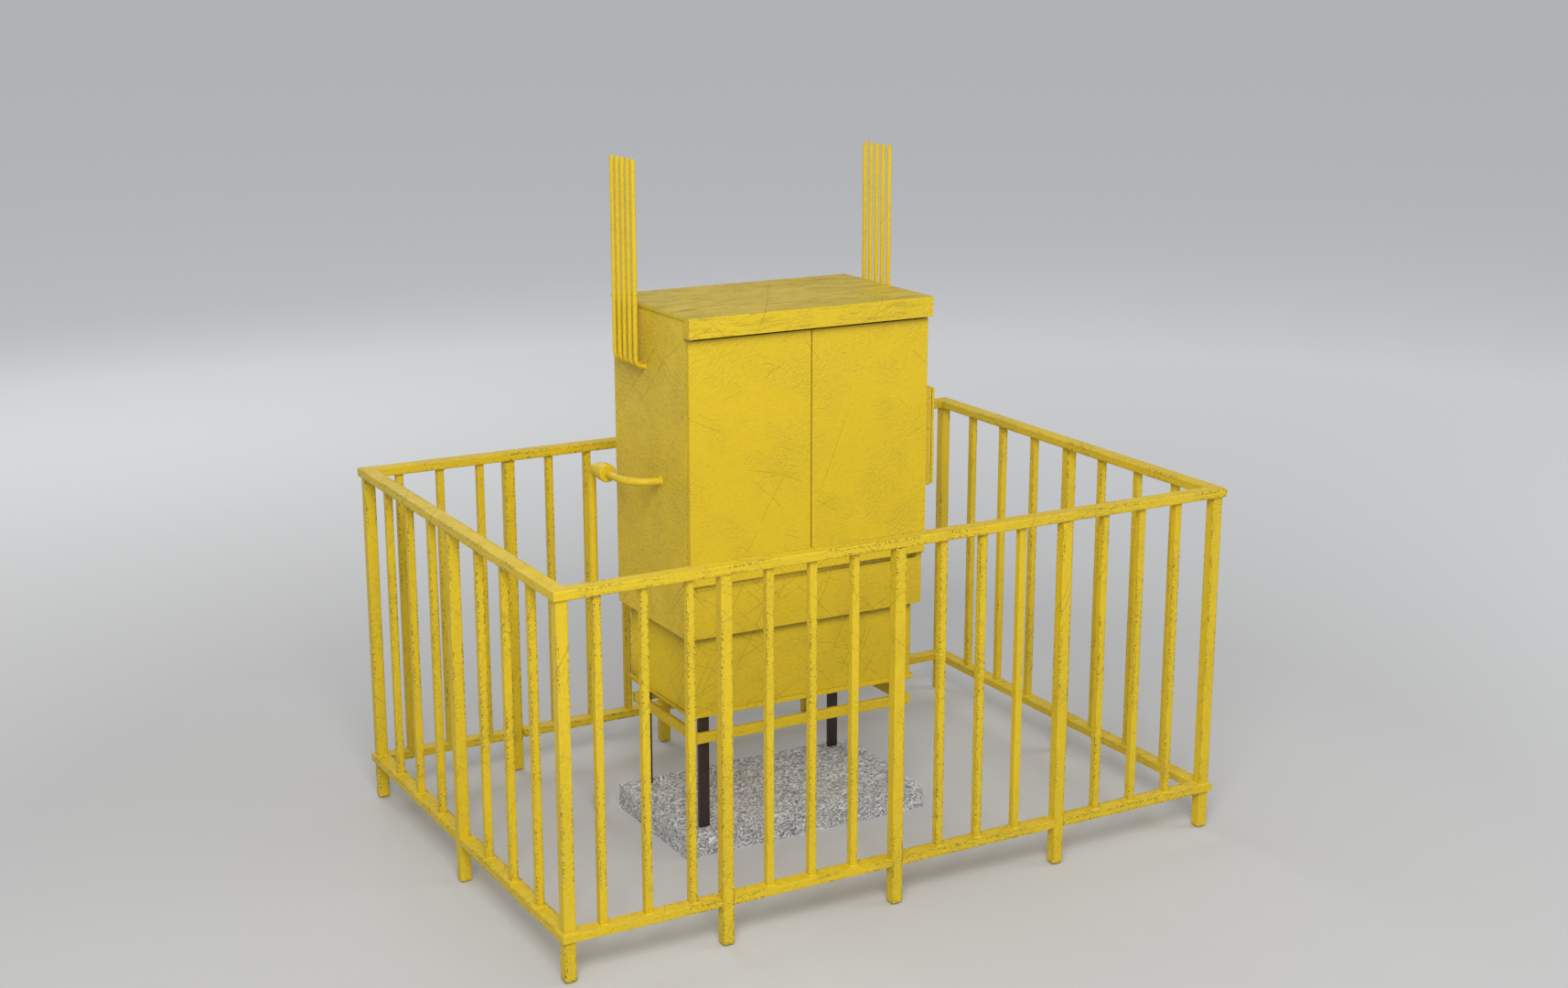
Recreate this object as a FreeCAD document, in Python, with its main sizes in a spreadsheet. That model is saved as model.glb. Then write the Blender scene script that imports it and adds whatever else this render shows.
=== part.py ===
"""Gas pressure-regulating cabinet on legs, with its vent pipes, its gas line and its guard railing.

Millimetres. Z is up, X runs along the long railing, the doors face -Y. The origin is on the
ground, in the middle of the railing.
"""
import FreeCAD, Part
import Sketcher
import math
import os
import re

doc = FreeCAD.newDocument("RegulatorCabinet")
sheet = doc.addObject("Spreadsheet::Sheet", "Sizes")

# Every size that can be set by itself, with its name and what it measures.
SIZES = [
    # guard railing
    ("fence_length", 3214, "railing, outside length along X"),
    ("fence_width", 2240, "railing, outside width along Y"),
    ("fence_height", 1600, "top of the railing above the ground"),
    ("rail_width", 70, "rails, width seen from above"),
    ("rail_wall", 2.5, "rails, tube wall"),
    ("rail_round", 6, "rails, radius of the long edges"),
    ("top_rail_height", 40, "top rail, section height"),
    ("low_rail_height", 35, "bottom rail, section height"),
    ("low_rail_top", 211, "bottom rail, top face above the ground"),
    ("post_size", 50, "posts, square section"),
    ("post_wall", 3, "posts, tube wall"),
    ("post_round", 5, "posts, radius of the upright edges"),
    ("foot_round", 15, "posts, radius of the domed foot"),
    ("corner_inset", 12, "corner posts, set in from the rail's outer faces"),
    ("first_post", 725, "long sides, centre of the first middle post from the left end"),
    ("second_post", 1525, "long sides, centre of the second middle post"),
    ("third_post", 2357, "long sides, centre of the third middle post"),
    ("side_post", 1120, "short sides, centre of the middle post from the front"),
    ("bar_size", 33, "infill bars, square section"),
    ("bar_wall", 2, "infill bars, tube wall"),
    ("bar_round", 4, "infill bars, radius of the upright edges"),
    ("long_bar_pitch", 197, "infill bars on the long sides, spacing"),
    ("short_bar_pitch", 270, "infill bars on the short sides, spacing"),
    # base slab and legs
    ("station_x", -28, "middle of the cabinet from the middle of the railing"),
    ("station_y", 76, "middle of the legs from the middle of the railing"),
    ("slab_length", 1240, "concrete slab along X"),
    ("slab_width", 710, "concrete slab along Y"),
    ("slab_height", 113, "concrete slab, thickness"),
    ("slab_chamfer", 5, "concrete slab, worn edge"),
    ("leg_span", 1052, "legs, outside to outside along X"),
    ("leg_depth_span", 600, "legs, outside to outside along Y"),
    ("leg_width", 50, "leg section along X"),
    ("leg_thick", 20, "leg section along Y"),
    ("leg_wall", 2, "leg tube wall"),
    ("tie_drop", 119, "tie bars round the legs, underside below the plinth"),
    ("tie_height", 47, "tie bars, section height"),
    ("tie_thick", 26, "tie bars, section thickness"),
    ("tie_wall", 2, "tie bars, tube wall"),
    ("tie_round", 9, "tie bars, radius of the end corners"),
    # plinth under the cabinet
    ("plinth_width", 1120, "plinth along X"),
    ("plinth_depth", 620, "plinth along Y"),
    ("plinth_bottom", 636, "plinth, underside above the ground"),
    ("plinth_floor_thick", 4, "plinth floor plate"),
    ("strip_height", 20, "edge strip round the plinth"),
    ("strip_thick", 12, "edge strip, how far it stands out"),
    # cabinet
    ("cabinet_width", 1190, "cabinet shell along X"),
    ("cabinet_depth", 700, "cabinet shell along Y, without the doors"),
    ("cabinet_shift", 10, "cabinet shell, set back from the middle of the legs"),
    ("cabinet_bottom", 1004, "cabinet, underside above the ground"),
    ("cabinet_top", 2420, "top of the roof above the ground"),
    ("sheet", 2, "shell sheet"),
    ("floor_thick", 3, "cabinet floor plate"),
    ("roof_side", 7, "roof, overhang at the sides and the rear"),
    ("roof_front", 54, "roof, overhang in front of the shell"),
    ("visor_height", 89, "roof, folded front edge"),
    ("roof_lip", 14, "roof, folded side and rear edges"),
    ("visor_return", 14, "roof, inward fold under the front edge"),
    ("jamb_width", 40, "door frame, upright width"),
    ("frame_depth", 20, "door frame, depth"),
    ("sill_bottom", 1222, "door frame, underside of the sill"),
    ("sill_height", 50, "door frame, height of the sill"),
    ("header_drop", 156, "door frame, underside of the header below the roof sheet"),
    # doors
    ("door_bottom", 1252, "doors, lower edge above the ground"),
    ("door_top", 2321, "doors, upper edge above the ground"),
    ("door_thick", 25, "door leaf thickness"),
    ("door_standoff", 4, "space between the leaf and the frame, filled by the seal"),
    ("door_margin", 2, "leaf edge, set in from the shell's side"),
    ("leaf_gap", 5, "gap between the two leaves"),
    ("door_sheet", 2, "door sheet"),
    ("door_return", 34, "door, inward fold at the back"),
    ("hinge_edge", 10, "hinge axis from the leaf's outer edge"),
    ("pivot_radius", 4, "hinge pin radius"),
    ("running_gap", 0.05, "clearance of a pin in its bore, on the radius"),
    ("pivot_length", 18, "hinge pin, length inside the leaf"),
    ("pivot_block", 18, "hinge block inside the leaf, side"),
    ("pivot_plate", 3, "hinge bracket plate"),
    ("pivot_space", 1.5, "space between a leaf and its hinge bracket"),
    ("seal_inset", 14, "door seal, in from the leaf's edges"),
    ("seal_width", 12, "door seal width"),
    ("part_gap", 0.3, "clearance between pieces that move past each other"),
    ("catch_length", 46, "magnetic catch along X"),
    ("catch_height", 10, "magnetic catch height"),
    ("catch_offset", 60, "magnetic catch, from the middle of the doorway"),
    # vent pipes
    ("vent_radius", 10.65, "vent pipe, outer radius"),
    ("vent_wall", 2.6, "vent pipe wall"),
    ("vent_pitch", 52, "vent pipes, spacing"),
    ("vent_middle", 148, "middle vent, back from the middle of the legs"),
    ("vent_standoff", 44, "vent pipe axis from the cabinet's side"),
    ("vent_bend", 36, "vent pipe, bend radius"),
    ("vent_top", 3040, "open ends above the ground"),
    ("vent_entry", 2148, "height where the vents enter the cabinet"),
    ("vent_inside", 32, "vent pipe, length inside the cabinet"),
    # gas inlet
    ("riser_standoff", 142, "inlet riser axis from the cabinet's left side"),
    ("riser_y", 393, "inlet riser from the middle of the railing"),
    ("riser_radius", 19, "inlet riser, outer radius"),
    ("riser_bend", 57, "inlet riser, bend radius"),
    ("pipe_wall", 3, "gas pipes, wall"),
    ("line_height", 1665, "gas line axis above the ground"),
    ("line_y", -16, "gas line axis from the middle of the railing"),
    ("joint_start", 78, "insulating joint, from the riser's axis"),
    ("collar_radius", 32.5, "insulating joint, collar radius"),
    ("collar_length", 45, "insulating joint, collar length"),
    ("joint_shoulder", 3, "insulating joint, slope from the collar to the disc"),
    ("joint_taper", 6, "insulating joint, bevel at the front of the disc"),
    ("disc_radius", 40.5, "insulating joint, disc radius"),
    ("disc_length", 55, "insulating joint, disc length"),
    ("pipe_radius", 17, "gas pipe, outer radius"),
    ("pipe_bend", 140, "gas pipe, bend radius"),
    # gas line inside the cabinet, along X from the left wall's inner face
    ("valve_one_at", 76, "inlet valve, start"),
    ("valve_length", 110, "ball valve, length"),
    ("valve_collar", 7, "ball valve, end collar beyond the pipe"),
    ("boss_wall", 7, "ball valve, spindle boss beyond the spindle"),
    ("boss_height", 8, "ball valve, spindle boss above the body"),
    ("boss_seat", 4, "ball valve, spindle boss inside the body"),
    ("spindle_end", 6, "ball valve, spindle above the lever"),
    ("nipple", 44, "pipe nipples between the fittings"),
    ("port_wall", 9, "port collar beyond the pipe"),
    ("filter_length", 170, "filter, port to port"),
    ("filter_radius", 54, "filter bowl radius"),
    ("filter_foot", 38, "filter bowl, radius of the flat foot"),
    ("filter_slope", 16, "filter bowl, height of the sloping foot"),
    ("filter_depth", 150, "filter bowl below the pipe axis"),
    ("filter_rim", 14, "filter cover, rim beyond the bowl"),
    ("filter_rim_height", 26, "filter cover, rim height"),
    ("filter_rise", 58, "filter cover above the pipe axis"),
    ("cover_radius", 46, "filter cover, raised middle"),
    ("cover_height", 10, "filter cover, height of the raised middle"),
    ("cover_slope", 6, "filter cover, slope round the raised middle"),
    ("shutoff_length", 156, "safety shut-off valve, port to port"),
    ("shutoff_radius", 48, "safety shut-off valve, body radius"),
    ("shutoff_bevel", 10, "safety shut-off valve, bevel under the body"),
    ("shutoff_bevel_rise", 6, "safety shut-off valve, height of the bevel"),
    ("neck_radius", 30, "safety shut-off valve, neck under the bonnet"),
    ("neck_height", 12, "safety shut-off valve, neck height"),
    ("bonnet_radius", 42, "safety shut-off valve, bonnet radius"),
    ("bonnet_rim", 8, "safety shut-off valve, rim beyond the bonnet"),
    ("bonnet_rim_height", 12, "safety shut-off valve, rim height"),
    ("bonnet_top", 150, "safety shut-off valve, top of the bonnet above the axis"),
    ("bonnet_bevel", 12, "safety shut-off valve, bevel on the bonnet"),
    ("knob_boss", 22, "reset knob boss below the shut-off body"),
    ("knob_boss_wall", 6, "reset knob boss beyond the knob"),
    ("stem_room", 30, "reset knob boss, depth of the stem's bore"),
    ("knob_radius", 15, "reset knob radius"),
    ("knob_height", 26, "reset knob height"),
    ("knob_bevel", 3, "reset knob, bevel at the lower end"),
    ("knob_shoulder", 4, "reset knob, bevel at the upper end"),
    ("stem_length", 24, "reset knob stem above the knob"),
    ("knob_travel", 12, "reset knob travel"),
    ("stem_radius", 5, "reset knob stem and valve spindle radius"),
    ("regulator_length", 170, "regulator, port to port"),
    ("regulator_radius", 54, "regulator body radius"),
    ("plug_radius", 28, "regulator, bottom plug radius"),
    ("plug_depth", 14, "regulator, bottom plug below the body"),
    ("globe_step", 6, "regulator body, steps of its rounded underside"),
    ("case_radius", 118, "diaphragm case radius"),
    ("case_rim", 12, "diaphragm case, bolted rim beyond the case"),
    ("case_rim_half", 7, "diaphragm case, half the rim's thickness"),
    ("case_dish", 8, "diaphragm case, dish inside its widest part"),
    ("case_bottom", 92, "diaphragm case, underside above the axis"),
    ("case_height", 62, "diaphragm case height"),
    ("tower_radius", 31, "spring tower radius"),
    ("tower_foot", 10, "spring tower, flare at its foot"),
    ("tower_foot_height", 6, "spring tower, height of the flare"),
    ("tower_height", 92, "spring tower height"),
    ("adjuster_radius", 23, "adjusting cap radius"),
    ("adjuster_height", 34, "adjusting cap height"),
    ("lever_length", 105, "valve lever from its spindle"),
    ("lever_width", 20, "valve lever width"),
    ("lever_thick", 5, "valve lever thickness"),
    ("lever_hub", 12, "valve lever, hub radius"),
    ("lever_grip", 2, "valve lever, grip thickness"),
    ("ball_radius", 31, "inlet valve body radius"),
    ("outlet_radius", 30.15, "outlet pipe, outer radius"),
    ("outlet_ball", 42, "outlet valve body radius"),
    ("outlet_bend", 75, "outlet pipe, bend radius"),
    ("outlet_turn", 112, "outlet pipe, from the valve to the middle of the bend"),
    ("outlet_proud", 70, "outlet flange face behind the rear wall"),
    ("flange_radius", 82.5, "outlet flange radius"),
    ("flange_thick", 18, "outlet flange thickness"),
    ("bolt_circle", 125, "outlet flange, bolt circle diameter"),
    ("bolt_hole", 9, "outlet flange, bolt hole radius"),
    ("wall_clearance", 0.3, "pipe in its wall hole, on the radius"),
    ("gauge_radius", 50, "pressure gauge radius"),
    ("gauge_depth", 34, "pressure gauge depth"),
    ("gauge_wall", 4, "pressure gauge rim"),
    ("gauge_recess", 10, "pressure gauge, dial below the rim"),
    ("gauge_rise", 172, "pressure gauge centre above the line"),
    ("gauge_stem", 7, "pressure gauge stem radius"),
    ("gauge_clear", 3, "outlet gauge stem, from the end of the outlet pipe"),
    ("needle_length", 36, "gauge needle"),
    ("needle_width", 4, "gauge needle width"),
    ("needle_thick", 1.5, "gauge needle thickness"),
    ("relief_radius", 24, "relief valve radius"),
    ("relief_height", 120, "relief valve height"),
    ("relief_foot", 10, "relief valve, narrower foot"),
    ("relief_collar", 4, "relief valve, collar beyond the tube"),
    ("relief_step", 1.65, "relief tube, radius less than the vent's"),
    ("relief_bend", 45, "relief tube, bend radius"),
    ("prop_size", 32, "props under the gas line, square section"),
    # instrument box on the right wall
    ("box_front", 209, "instrument box, front face before the middle of the railing"),
    ("box_length", 300, "instrument box along Y"),
    ("box_bottom", 1536, "instrument box, underside above the ground"),
    ("box_height", 452, "instrument box height"),
    ("box_proud", 93, "instrument box and lid, out from the wall"),
    ("lid_thick", 13, "instrument box lid"),
    ("lid_gap", 2.6, "space between the box and its lid"),
    ("lid_edge", 6, "lid hinge axis from the lid's rear edge"),
    ("lid_pin", 2.5, "lid hinge pin radius"),
    ("lid_inset", 5, "lid, shorter than the box at the top and bottom"),
]
for row, (alias, value, note) in enumerate(SIZES, 1):
    sheet.set("A%d" % row, note)
    sheet.set("B%d" % row, str(value))
    sheet.setAlias("B%d" % row, alias)
doc.recompute()

ALIASES = {alias for alias, value, note in SIZES}
NODES = []

# Places that many pieces share, as formulas of the sizes above.
FENCE_LEFT = "(-fence_length/2)"
FENCE_FRONT = "(-fence_width/2)"
LOW_RAIL_BOTTOM = "(low_rail_top - low_rail_height)"
TOP_RAIL_BOTTOM = "(fence_height - top_rail_height)"
SHELL_LEFT = "(station_x - cabinet_width/2)"
SHELL_RIGHT = "(station_x + cabinet_width/2)"
SHELL_FRONT = "(station_y + cabinet_shift - cabinet_depth/2)"
SHELL_REAR = "(station_y + cabinet_shift + cabinet_depth/2)"
WALL_TOP = "(cabinet_top - sheet)"
HEADER_BOTTOM = "(cabinet_top - sheet - header_drop)"
LEAF_BACK = "(%s - door_standoff)" % SHELL_FRONT
LEAF_FRONT = "(%s - door_standoff - door_thick)" % SHELL_FRONT
LEAF_WIDTH = "(cabinet_width/2 - door_margin - leaf_gap/2)"
HINGE_Y = "(%s - door_standoff - door_thick/2)" % SHELL_FRONT
RISER_X = "(%s - riser_standoff)" % SHELL_LEFT
TIE_MIDDLE = "(plinth_bottom - tie_drop + tie_height/2)"
RELIEF_TUBE = "(vent_radius - relief_step)"
VALVE_ONE = "(%s + sheet + valve_one_at)" % SHELL_LEFT
FILTER = "(%s + valve_length + nipple)" % VALVE_ONE
SHUTOFF = "(%s + filter_length + nipple)" % FILTER
REGULATOR = "(%s + shutoff_length + nipple)" % SHUTOFF
VALVE_TWO = "(%s + regulator_length + nipple)" % REGULATOR
OUTLET = "(%s + valve_length)" % VALVE_TWO
OUTLET_X = "(%s + outlet_turn)" % OUTLET
FLANGE_Y = "(%s + outlet_proud)" % SHELL_REAR


def linked(formula):
    """The formula with each size's name turned into a reference to its cell."""
    return re.sub(r"[a-z][a-z_]*", lambda word: "Sizes." + word.group(0)
                  if word.group(0) in ALIASES else word.group(0), str(formula))


def value_of(formula):
    """The formula's number, for shapes and counts that cannot be bound."""
    numbers = {alias: float(sheet.get(alias)) for alias in ALIASES}
    probe = doc.getObject("Probe") or doc.addObject("App::FeaturePython", "Probe")
    if "result" not in probe.PropertiesList:
        probe.addProperty("App::PropertyFloat", "result")
    if str(formula) in numbers:
        return numbers[str(formula)]
    probe.setExpression("result", linked(formula))
    probe.recompute()
    return probe.result


def bind(thing, prop, formula):
    thing.setExpression(prop, linked(formula))


def place(thing, low, turn=None):
    """Puts a piece at the formulas of its corner or centre, turned by (axis, angle)."""
    if turn:
        thing.Placement = FreeCAD.Placement(FreeCAD.Vector(),
                                            FreeCAD.Rotation(FreeCAD.Vector(*turn[0]), turn[1]))
    for axis, formula in zip("xyz", low):
        bind(thing, "Placement.Base." + axis, formula)
    return thing


def block(name, low, span):
    """A box from its low corner and its three lengths."""
    box = doc.addObject("Part::Box", name)
    for prop, formula in zip(("Length", "Width", "Height"), span):
        bind(box, prop, formula)
    return place(box, low)


ALONG_X = ((0, 1, 0), 90)
ALONG_Y = ((1, 0, 0), -90)
TOWARDS_FRONT = ((1, 0, 0), 90)


def rod(name, start, radius, length, turn=None):
    """A cylinder from the centre of its first end, along Z unless it is turned."""
    cylinder = doc.addObject("Part::Cylinder", name)
    bind(cylinder, "Radius", radius)
    bind(cylinder, "Height", length)
    return place(cylinder, start, turn)


def fuse(name, pieces):
    joined = doc.addObject("Part::MultiFuse", name)
    joined.Shapes = pieces
    return joined


def cut(name, base, tools):
    """The base with every tool taken out of it."""
    tool = tools[0] if len(tools) == 1 else fuse(name + "_tools", tools)
    result = doc.addObject("Part::Cut", name)
    result.Base = base
    result.Tool = tool
    return result


def node(name, pieces):
    """Names one sub-part, made of one piece or of several separate ones."""
    if len(pieces) == 1:
        thing = pieces[0]
    else:
        thing = doc.addObject("Part::Compound", name + "_group")
        thing.Links = pieces
    thing.Label = name
    NODES.append(thing)
    return thing


def outline(sketch, points):
    """A closed outline whose corners are formulas of the sizes."""
    count = len(points)
    first = sketch.GeometryCount
    rough = [FreeCAD.Vector(value_of(u), value_of(v), 0) for u, v in points]
    for index in range(count):
        sketch.addGeometry(Part.LineSegment(rough[index], rough[(index + 1) % count]), False)
    for index in range(count):
        here = first + index
        following = first + (index + 1) % count
        sketch.addConstraint(Sketcher.Constraint("Coincident", here, 2, following, 1))
        for kind, formula, rough_value, axis in (("DistanceX", points[index][0], rough[index].x, -2),
                                                 ("DistanceY", points[index][1], rough[index].y, -1)):
            if str(formula) == "0":
                sketch.addConstraint(Sketcher.Constraint("PointOnObject", here, 1, axis))
                continue
            number = sketch.addConstraint(Sketcher.Constraint(kind, -1, 1, here, 1, rough_value))
            bind(sketch, "Constraints[%d]" % number, formula)


def plane(body, role):
    return [item for item in body.Origin.OriginFeatures if item.Role == role][0]


def new_sketch(body, role):
    sketch = body.newObject("Sketcher::SketchObject", body.Name + "_sketch")
    sketch.AttachmentSupport = [(plane(body, role), "")]
    sketch.MapMode = "FlatFace"
    return sketch


def padded(name, loops, height, turn=None, at=(0, 0, 0)):
    """A body padded upwards from closed outlines: the first is the edge, the rest are holes."""
    body = doc.addObject("PartDesign::Body", name)
    sketch = new_sketch(body, "XY_Plane")
    for points in loops:
        outline(sketch, points)
    pad = body.newObject("PartDesign::Pad", name + "_pad")
    pad.Profile = sketch
    bind(pad, "Length", height)
    return place(body, at, turn)


def turned(name, points, at, turn=None):
    """A body turned on a lathe: the outline is in radius and height, about the body's Z."""
    body = doc.addObject("PartDesign::Body", name)
    sketch = new_sketch(body, "XZ_Plane")
    outline(sketch, points)
    lathe = body.newObject("PartDesign::Revolution", name + "_turning")
    lathe.Profile = sketch
    lathe.ReferenceAxis = (sketch, ["V_Axis"])
    lathe.Angle = 360
    return place(body, at, turn)


def rounded(body, radius, wanted):
    """Rounds the body's edges that the test picks."""
    doc.recompute()
    tip = body.Tip
    names = ["Edge%d" % (number + 1) for number, edge in enumerate(tip.Shape.Edges) if wanted(edge)]
    fillet = body.newObject("PartDesign::Fillet", body.Name + "_round%d" % len(body.Group))
    fillet.Base = (tip, names)
    bind(fillet, "Radius", radius)
    return body


def corners_of(low, high):
    """A rectangle from its two corners."""
    return [(low[0], low[1]), (high[0], low[1]), (high[0], high[1]), (low[0], high[1])]


def upright(edge):
    return abs(edge.Vertexes[0].Z - edge.Vertexes[-1].Z) > 1


def outer_upright(width, depth):
    """A test for a square tube's four outer upright edges."""
    half = (value_of(width) / 2, value_of(depth) / 2)

    def wanted(edge):
        point = edge.Vertexes[0].Point
        return upright(edge) and abs(abs(point.x) - half[0]) < 0.01 and abs(abs(point.y) - half[1]) < 0.01
    return wanted


def square_tube(name, width, depth, wall, height, radius, at, turn=None):
    """A rectangular tube about its own axis, open at both ends, with rounded outer corners."""
    outer = corners_of(("-%s/2" % width, "-%s/2" % depth), ("%s/2" % width, "%s/2" % depth))
    inner = corners_of(("-%s/2 + %s" % (width, wall), "-%s/2 + %s" % (depth, wall)),
                       ("%s/2 - %s" % (width, wall), "%s/2 - %s" % (depth, wall)))
    body = padded(name, [outer, inner], height, turn, at)
    return rounded(body, radius, outer_upright(width, depth))


def bent_pipe(name, route, bend, radius, wall):
    """A pipe with an open bore along straight runs joined by tangent arcs, all in millimetres."""
    path = []
    last = route[0]
    for index in range(1, len(route) - 1):
        corner = route[index]
        back = (route[index - 1] - corner).normalize()
        onward = (route[index + 1] - corner).normalize()
        reach = bend / math.tan(back.getAngle(onward) / 2)
        begin = corner + back * reach
        end = corner + onward * reach
        across = (back + onward).normalize()
        middle = corner + across * (math.hypot(bend, reach) - bend)
        if (begin - last).Length > 0.01:
            path.append(Part.LineSegment(last, begin).toShape())
        path.append(Part.Arc(begin, middle, end).toShape())
        last = end
    path.append(Part.LineSegment(last, route[-1]).toShape())
    wire = Part.Wire(path)
    heading = (route[1] - route[0]).normalize()

    def tube(size):
        ring = Part.Wire(Part.Circle(route[0], heading, size).toShape())
        return wire.makePipeShell([ring], True, False)
    pipe = doc.addObject("Part::Feature", name)
    pipe.Shape = tube(radius).cut(tube(radius - wall))
    return pipe


def point(x, y, z):
    return FreeCAD.Vector(value_of(x), value_of(y), value_of(z))


# ---------------------------------------------------------------- guard railing

def rail(name, length, height, at, turn):
    """One side of a mitred rail: a hollow bar with its ends cut at 45 degrees."""
    def trapezium(low, high):
        return [("-%s/2 + %s" % (length, low), low), ("%s/2 - %s" % (length, low), low),
                ("%s/2 - %s" % (length, high), high), ("-%s/2 + %s" % (length, high), high)]
    body = padded(name, [trapezium("0", "rail_width")], height, turn, at)
    cavity = body.newObject("Sketcher::SketchObject", name + "_bore_sketch")
    cavity.AttachmentSupport = [(plane(body, "XY_Plane"), "")]
    cavity.MapMode = "FlatFace"
    bind(cavity, "AttachmentOffset.Base.z", "rail_wall")
    outline(cavity, trapezium("rail_wall", "(rail_width - rail_wall)"))
    bore = body.newObject("PartDesign::Pocket", name + "_bore")
    bore.Profile = cavity
    bore.Reversed = True
    bind(bore, "Length", "%s - 2*rail_wall" % height)
    doc.recompute()
    reach = value_of(length) / 2
    width = value_of("rail_width")
    top = value_of(height)

    def outer_long(edge):
        a, b = edge.Vertexes[0].Point, edge.Vertexes[-1].Point
        outside = min(abs(a.y), abs(a.y - width)) < 0.01 and min(abs(a.z), abs(a.z - top)) < 0.01
        return abs(a.x - b.x) > reach and abs(a.y - b.y) < 0.01 and outside
    return rounded(body, "rail_round", outer_long)


SIDES = [("front", "fence_length", (0, FENCE_FRONT), 0), ("right", "fence_width", ("fence_length/2", 0), 90),
         ("rear", "fence_length", (0, "fence_width/2"), 180), ("left", "fence_width", (FENCE_LEFT, 0), 270)]
for side, length, (x, y), angle in SIDES:
    node("fence_top_rail_" + side, [rail("top_rail_" + side, length, "top_rail_height",
                                         (x, y, TOP_RAIL_BOTTOM), ((0, 0, 1), angle))])


def foot(body):
    """Domes the lower end of a post: its bottom outer edges are rounded."""
    doc.recompute()
    half = value_of("post_size") / 2 - value_of("post_wall") - 0.01

    def wanted(edge):
        flat = all(abs(vertex.Z) < 0.01 for vertex in edge.Vertexes)
        return flat and max(abs(edge.CenterOfMass.x), abs(edge.CenterOfMass.y)) > half + 0.1
    return rounded(body, "foot_round", wanted)


def post(name, x, y, bottom, top, domed):
    """A square post or foot: a closed plug at the ground end when it is domed."""
    half = "post_size/2"
    outer = corners_of(("-" + half, "-" + half), (half, half))
    height = "%s - %s" % (top, bottom)
    body = padded(name, [outer], height, None, (x, y, bottom))
    bore = body.newObject("Sketcher::SketchObject", name + "_bore_sketch")
    bore.AttachmentSupport = [(plane(body, "XY_Plane"), "")]
    bore.MapMode = "FlatFace"
    bind(bore, "AttachmentOffset.Base.z", "foot_round + post_wall" if domed else "0")
    outline(bore, corners_of(("-%s + post_wall" % half, "-%s + post_wall" % half),
                             (half + " - post_wall", half + " - post_wall")))
    pocket = body.newObject("PartDesign::Pocket", name + "_bore")
    pocket.Profile = bore
    pocket.Reversed = True
    bind(pocket, "Length", height)
    rounded(body, "post_round", outer_upright("post_size", "post_size"))
    if domed:
        foot(body)
    return body


CORNER = "(corner_inset + post_size/2)"
corner_posts = []
for sx, sy in ((-1, -1), (1, -1), (1, 1), (-1, 1)):
    x = "%d*(fence_length/2 - %s)" % (sx, CORNER)
    y = "%d*(fence_width/2 - %s)" % (sy, CORNER)
    tag = "%s%s" % ("left" if sx < 0 else "right", "_front" if sy < 0 else "_rear")
    corner_posts.append(post("corner_post_" + tag, x, y, "low_rail_top", TOP_RAIL_BOTTOM, False))
    corner_posts.append(post("corner_foot_" + tag, x, y, "0", LOW_RAIL_BOTTOM, True))
node("fence_corner_posts", corner_posts)

LONG_POSTS = ["first_post", "second_post", "third_post"]
long_side_posts = []
for side, sign in (("front", -1), ("rear", 1)):
    y = "%d*(fence_width/2 - post_size/2)" % sign
    long_side_posts += [post("%s_%s" % (alias, side), "%s + %s" % (FENCE_LEFT, alias), y, "0",
                             TOP_RAIL_BOTTOM, True) for alias in LONG_POSTS]
node("fence_long_side_posts", long_side_posts)
node("fence_short_side_posts", [post("side_post_" + side, "%d*(fence_length/2 - post_size/2)" % sign,
                                     "%s + side_post" % FENCE_FRONT, "0", TOP_RAIL_BOTTOM, True)
                                for side, sign in (("left", -1), ("right", 1))])


def low_rail(name, start, end, first, last, turn, at):
    """A length of bottom rail between two posts: an end at a corner is mitred, the other is square."""
    def corner(low):
        left = "%s + %s" % (start, low) if first else start
        right = "%s - %s" % (end, low) if last else end
        return left, right
    def quad(low, high):
        (a, b), (c, d) = corner(low), corner(high)
        return [(a, low), (b, low), (d, high), (c, high)]
    body = padded(name, [quad("0", "rail_width")], "low_rail_height", turn, at)
    doc.recompute()
    width = value_of("rail_width")
    top = value_of("low_rail_height")

    def outer_long(edge):
        a, b = edge.Vertexes[0].Point, edge.Vertexes[-1].Point
        outside = min(abs(a.y), abs(a.y - width)) < 0.01 and min(abs(a.z), abs(a.z - top)) < 0.01
        return abs(a.y - b.y) < 0.01 and abs(a.x - b.x) > 2 * width and outside
    return rounded(body, "rail_round/2", outer_long)


low_rails = {"fence_length": [], "fence_width": []}
for side, length, (x, y), angle in SIDES:
    if length == "fence_length":
        centres = ["%s - fence_length/2" % alias for alias in LONG_POSTS]
        if side == "rear":
            centres = ["-(%s)" % centre for centre in reversed(centres)]
    else:
        offset = "side_post - fence_width/2"
        centres = [offset if side == "right" else "-(%s)" % offset]
    stops = ["-%s/2" % length] + centres + ["%s/2" % length]
    for index in range(len(stops) - 1):
        first, last = index == 0, index == len(stops) - 2
        start = stops[0] if first else "%s + post_size/2" % stops[index]
        end = stops[-1] if last else "%s - post_size/2" % stops[index + 1]
        low_rails[length].append(low_rail("low_rail_%s_%d" % (side, index + 1), start, end, first, last,
                                          ((0, 0, 1), angle), (x, y, LOW_RAIL_BOTTOM)))
node("fence_bottom_rails_long", low_rails["fence_length"])
node("fence_bottom_rails_short", low_rails["fence_width"])


def bar_places(stops, pitch):
    """Centres of the infill bars: as many as each bay takes at the pitch, in the bay's middle."""
    places = []
    for left, right in zip(stops, stops[1:]):
        clear = value_of(right) - value_of(left) - value_of("post_size")
        count = int(clear / value_of(pitch))
        for index in range(count):
            places.append("(%s + %s)/2 + %g*%s" % (left, right, index - (count - 1) / 2, pitch))
    return places


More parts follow.
